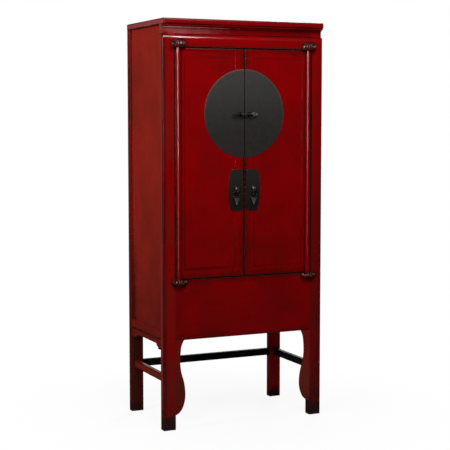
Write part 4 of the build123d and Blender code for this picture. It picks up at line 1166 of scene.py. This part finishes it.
def seenBy(tree):
    # Whether a ray comes from the camera, and whether it comes from gloss
    rays = addNode(tree, "ShaderNodeLightPath").outputs
    return calc(tree, "MAXIMUM", rays["Is Camera Ray"], rays["Is Transmission Ray"]), rays["Is Glossy Ray"]


def mixShaders(tree, factor, first, second):
    # first times (1 - factor) plus second times factor
    inputs = {0: factor, 1: first.outputs[0], 2: second.outputs[0]}
    return addNode(tree, "ShaderNodeMixShader", inputs)


def makeFloor():
    # Lit floor near the cabinet that turns into the plain white of the backdrop further out
    look = stageLook
    bpy.ops.mesh.primitive_plane_add(size=look["floorSize"], location=(0, 0, 0))
    floor = bpy.context.object
    floor.name = "floor"
    material, tree, coordinates = startMaterial("paleFloor")
    dull = addNode(tree, "ShaderNodeBsdfDiffuse", {"Color": look["floor"]})
    lit = addNode(tree, "ShaderNodeBsdfDiffuse", {"Color": look["paleFloor"]})
    white = addNode(tree, "ShaderNodeEmission", {"Color": look["white"], "Strength": 1.0})
    seen, glossy = seenBy(tree)
    away = vectorCalc(tree, "LENGTH", coordinates)
    pale = mixShaders(tree, ramp(tree, away, look["veilReach"], look["veil"]), lit, white)
    facing = vectorCalc(tree, "DOT_PRODUCT", vectorCalc(tree, "NORMALIZE", coordinates), look["backdrop"])
    behind = ramp(tree, away, look["backdropReach"])
    behind = calc(tree, "MULTIPLY", ramp(tree, facing, look["backdropEdge"]), behind)
    behind = calc(tree, "MULTIPLY_ADD", behind, 1 - look["dim"], look["dim"])
    sheen = addNode(tree, "ShaderNodeEmission", {"Color": look["white"], "Strength": behind})
    mixed = mixShaders(tree, glossy, mixShaders(tree, seen, dull, pale), sheen)
    addNode(tree, "ShaderNodeOutputMaterial", {"Surface": mixed.outputs[0]})
    floor.data.materials.append(material)


def makeWorld():
    # White where the camera looks, the backdrop for gloss, and a little ambient light for the rest
    look = stageLook
    bpy.context.scene.world = bpy.data.worlds.new("studio")
    tree = emptyTree(bpy.context.scene.world)
    seen, glossy = seenBy(tree)
    direction = addNode(tree, "ShaderNodeTexCoord").outputs["Generated"]
    facing = vectorCalc(tree, "DOT_PRODUCT", direction, look["backdrop"])
    gloss = calc(tree, "MULTIPLY", glossy, ramp(tree, facing, look["backdropEdge"], (look["dim"], 1.0)))
    other = calc(tree, "SUBTRACT", 1.0, calc(tree, "MAXIMUM", seen, glossy))
    strength = calc(tree, "MULTIPLY_ADD", other, look["ambient"], calc(tree, "ADD", seen, gloss))
    light = addNode(tree, "ShaderNodeBackground", {"Color": look["white"], "Strength": strength})
    addNode(tree, "ShaderNodeOutputWorld", {"Surface": light.outputs[0]})


lamps = {
    "keySoftbox": {"at": (-0.6, -2.3, 3.2), "towards": (-0.1, -0.2, 1.5), "size": (0.7, 0.7), "power": 42.5},
    "topSoftbox": {"at": (0.462, -1.5, 3.3), "towards": (-0.1, -0.2, 1.7), "size": (0.125, 0.8), "power": 15},
    "frontStrip": {"at": (-2.2, -2.0, 1.75), "towards": (-0.35, -0.2, 1.5), "size": (0.25, 1.2), "power": 24},
    "lowStrip": {"at": (-2.2, -2.0, 0.80), "towards": (-0.35, -0.2, 0.9), "size": (0.25, 0.7), "power": 2.4},
    "sideStrip": {"at": (-2.4, -0.3, 2.3), "towards": (-0.4, 0.0, 1.3), "size": (0.5, 1.0), "power": 34},
    "backSoftbox": {"at": (1.9, 2.4, 2.5), "towards": (0.2, 0.1, 1.0), "size": (1.0, 1.0), "power": 50},
}


def makeLamps():
    # One area lamp for each entry, turned so that its -Z looks at its target
    for name, lamp in lamps.items():
        light = bpy.data.lights.new(name, "AREA")
        light.shape = "RECTANGLE"
        light.size, light.size_y = lamp["size"]
        light.energy = lamp["power"]
        holder = addObject(name, light)
        holder.location = lamp["at"]
        direction = Vector(lamp["towards"]) - Vector(lamp["at"])
        holder.rotation_euler = direction.to_track_quat("-Z", "Y").to_euler()


cameraView = {
    "at": (-2.3911, -5.1990, 1.4100),
    "yaw": 24.692,  # degrees to the right of +Y
    "down": 5.075,  # degrees below the horizon
    "lens": 96.99,
    "sensor": 36.0,
    "far": 100.0,
}


def makeCamera():
    # Looks along +Y, turned by the yaw and tilted down
    camera = bpy.data.cameras.new("camera")
    camera.lens = cameraView["lens"]
    camera.sensor_width = cameraView["sensor"]
    camera.clip_end = cameraView["far"]
    holder = addObject("camera", camera)
    holder.location = cameraView["at"]
    holder.rotation_euler = (math.radians(90 - cameraView["down"]), 0, math.radians(-cameraView["yaw"]))
    bpy.context.scene.camera = holder


makeFloor()
makeWorld()
makeLamps()
makeCamera()
bpy.context.scene.view_settings.view_transform = "Standard"
print("stage ready")
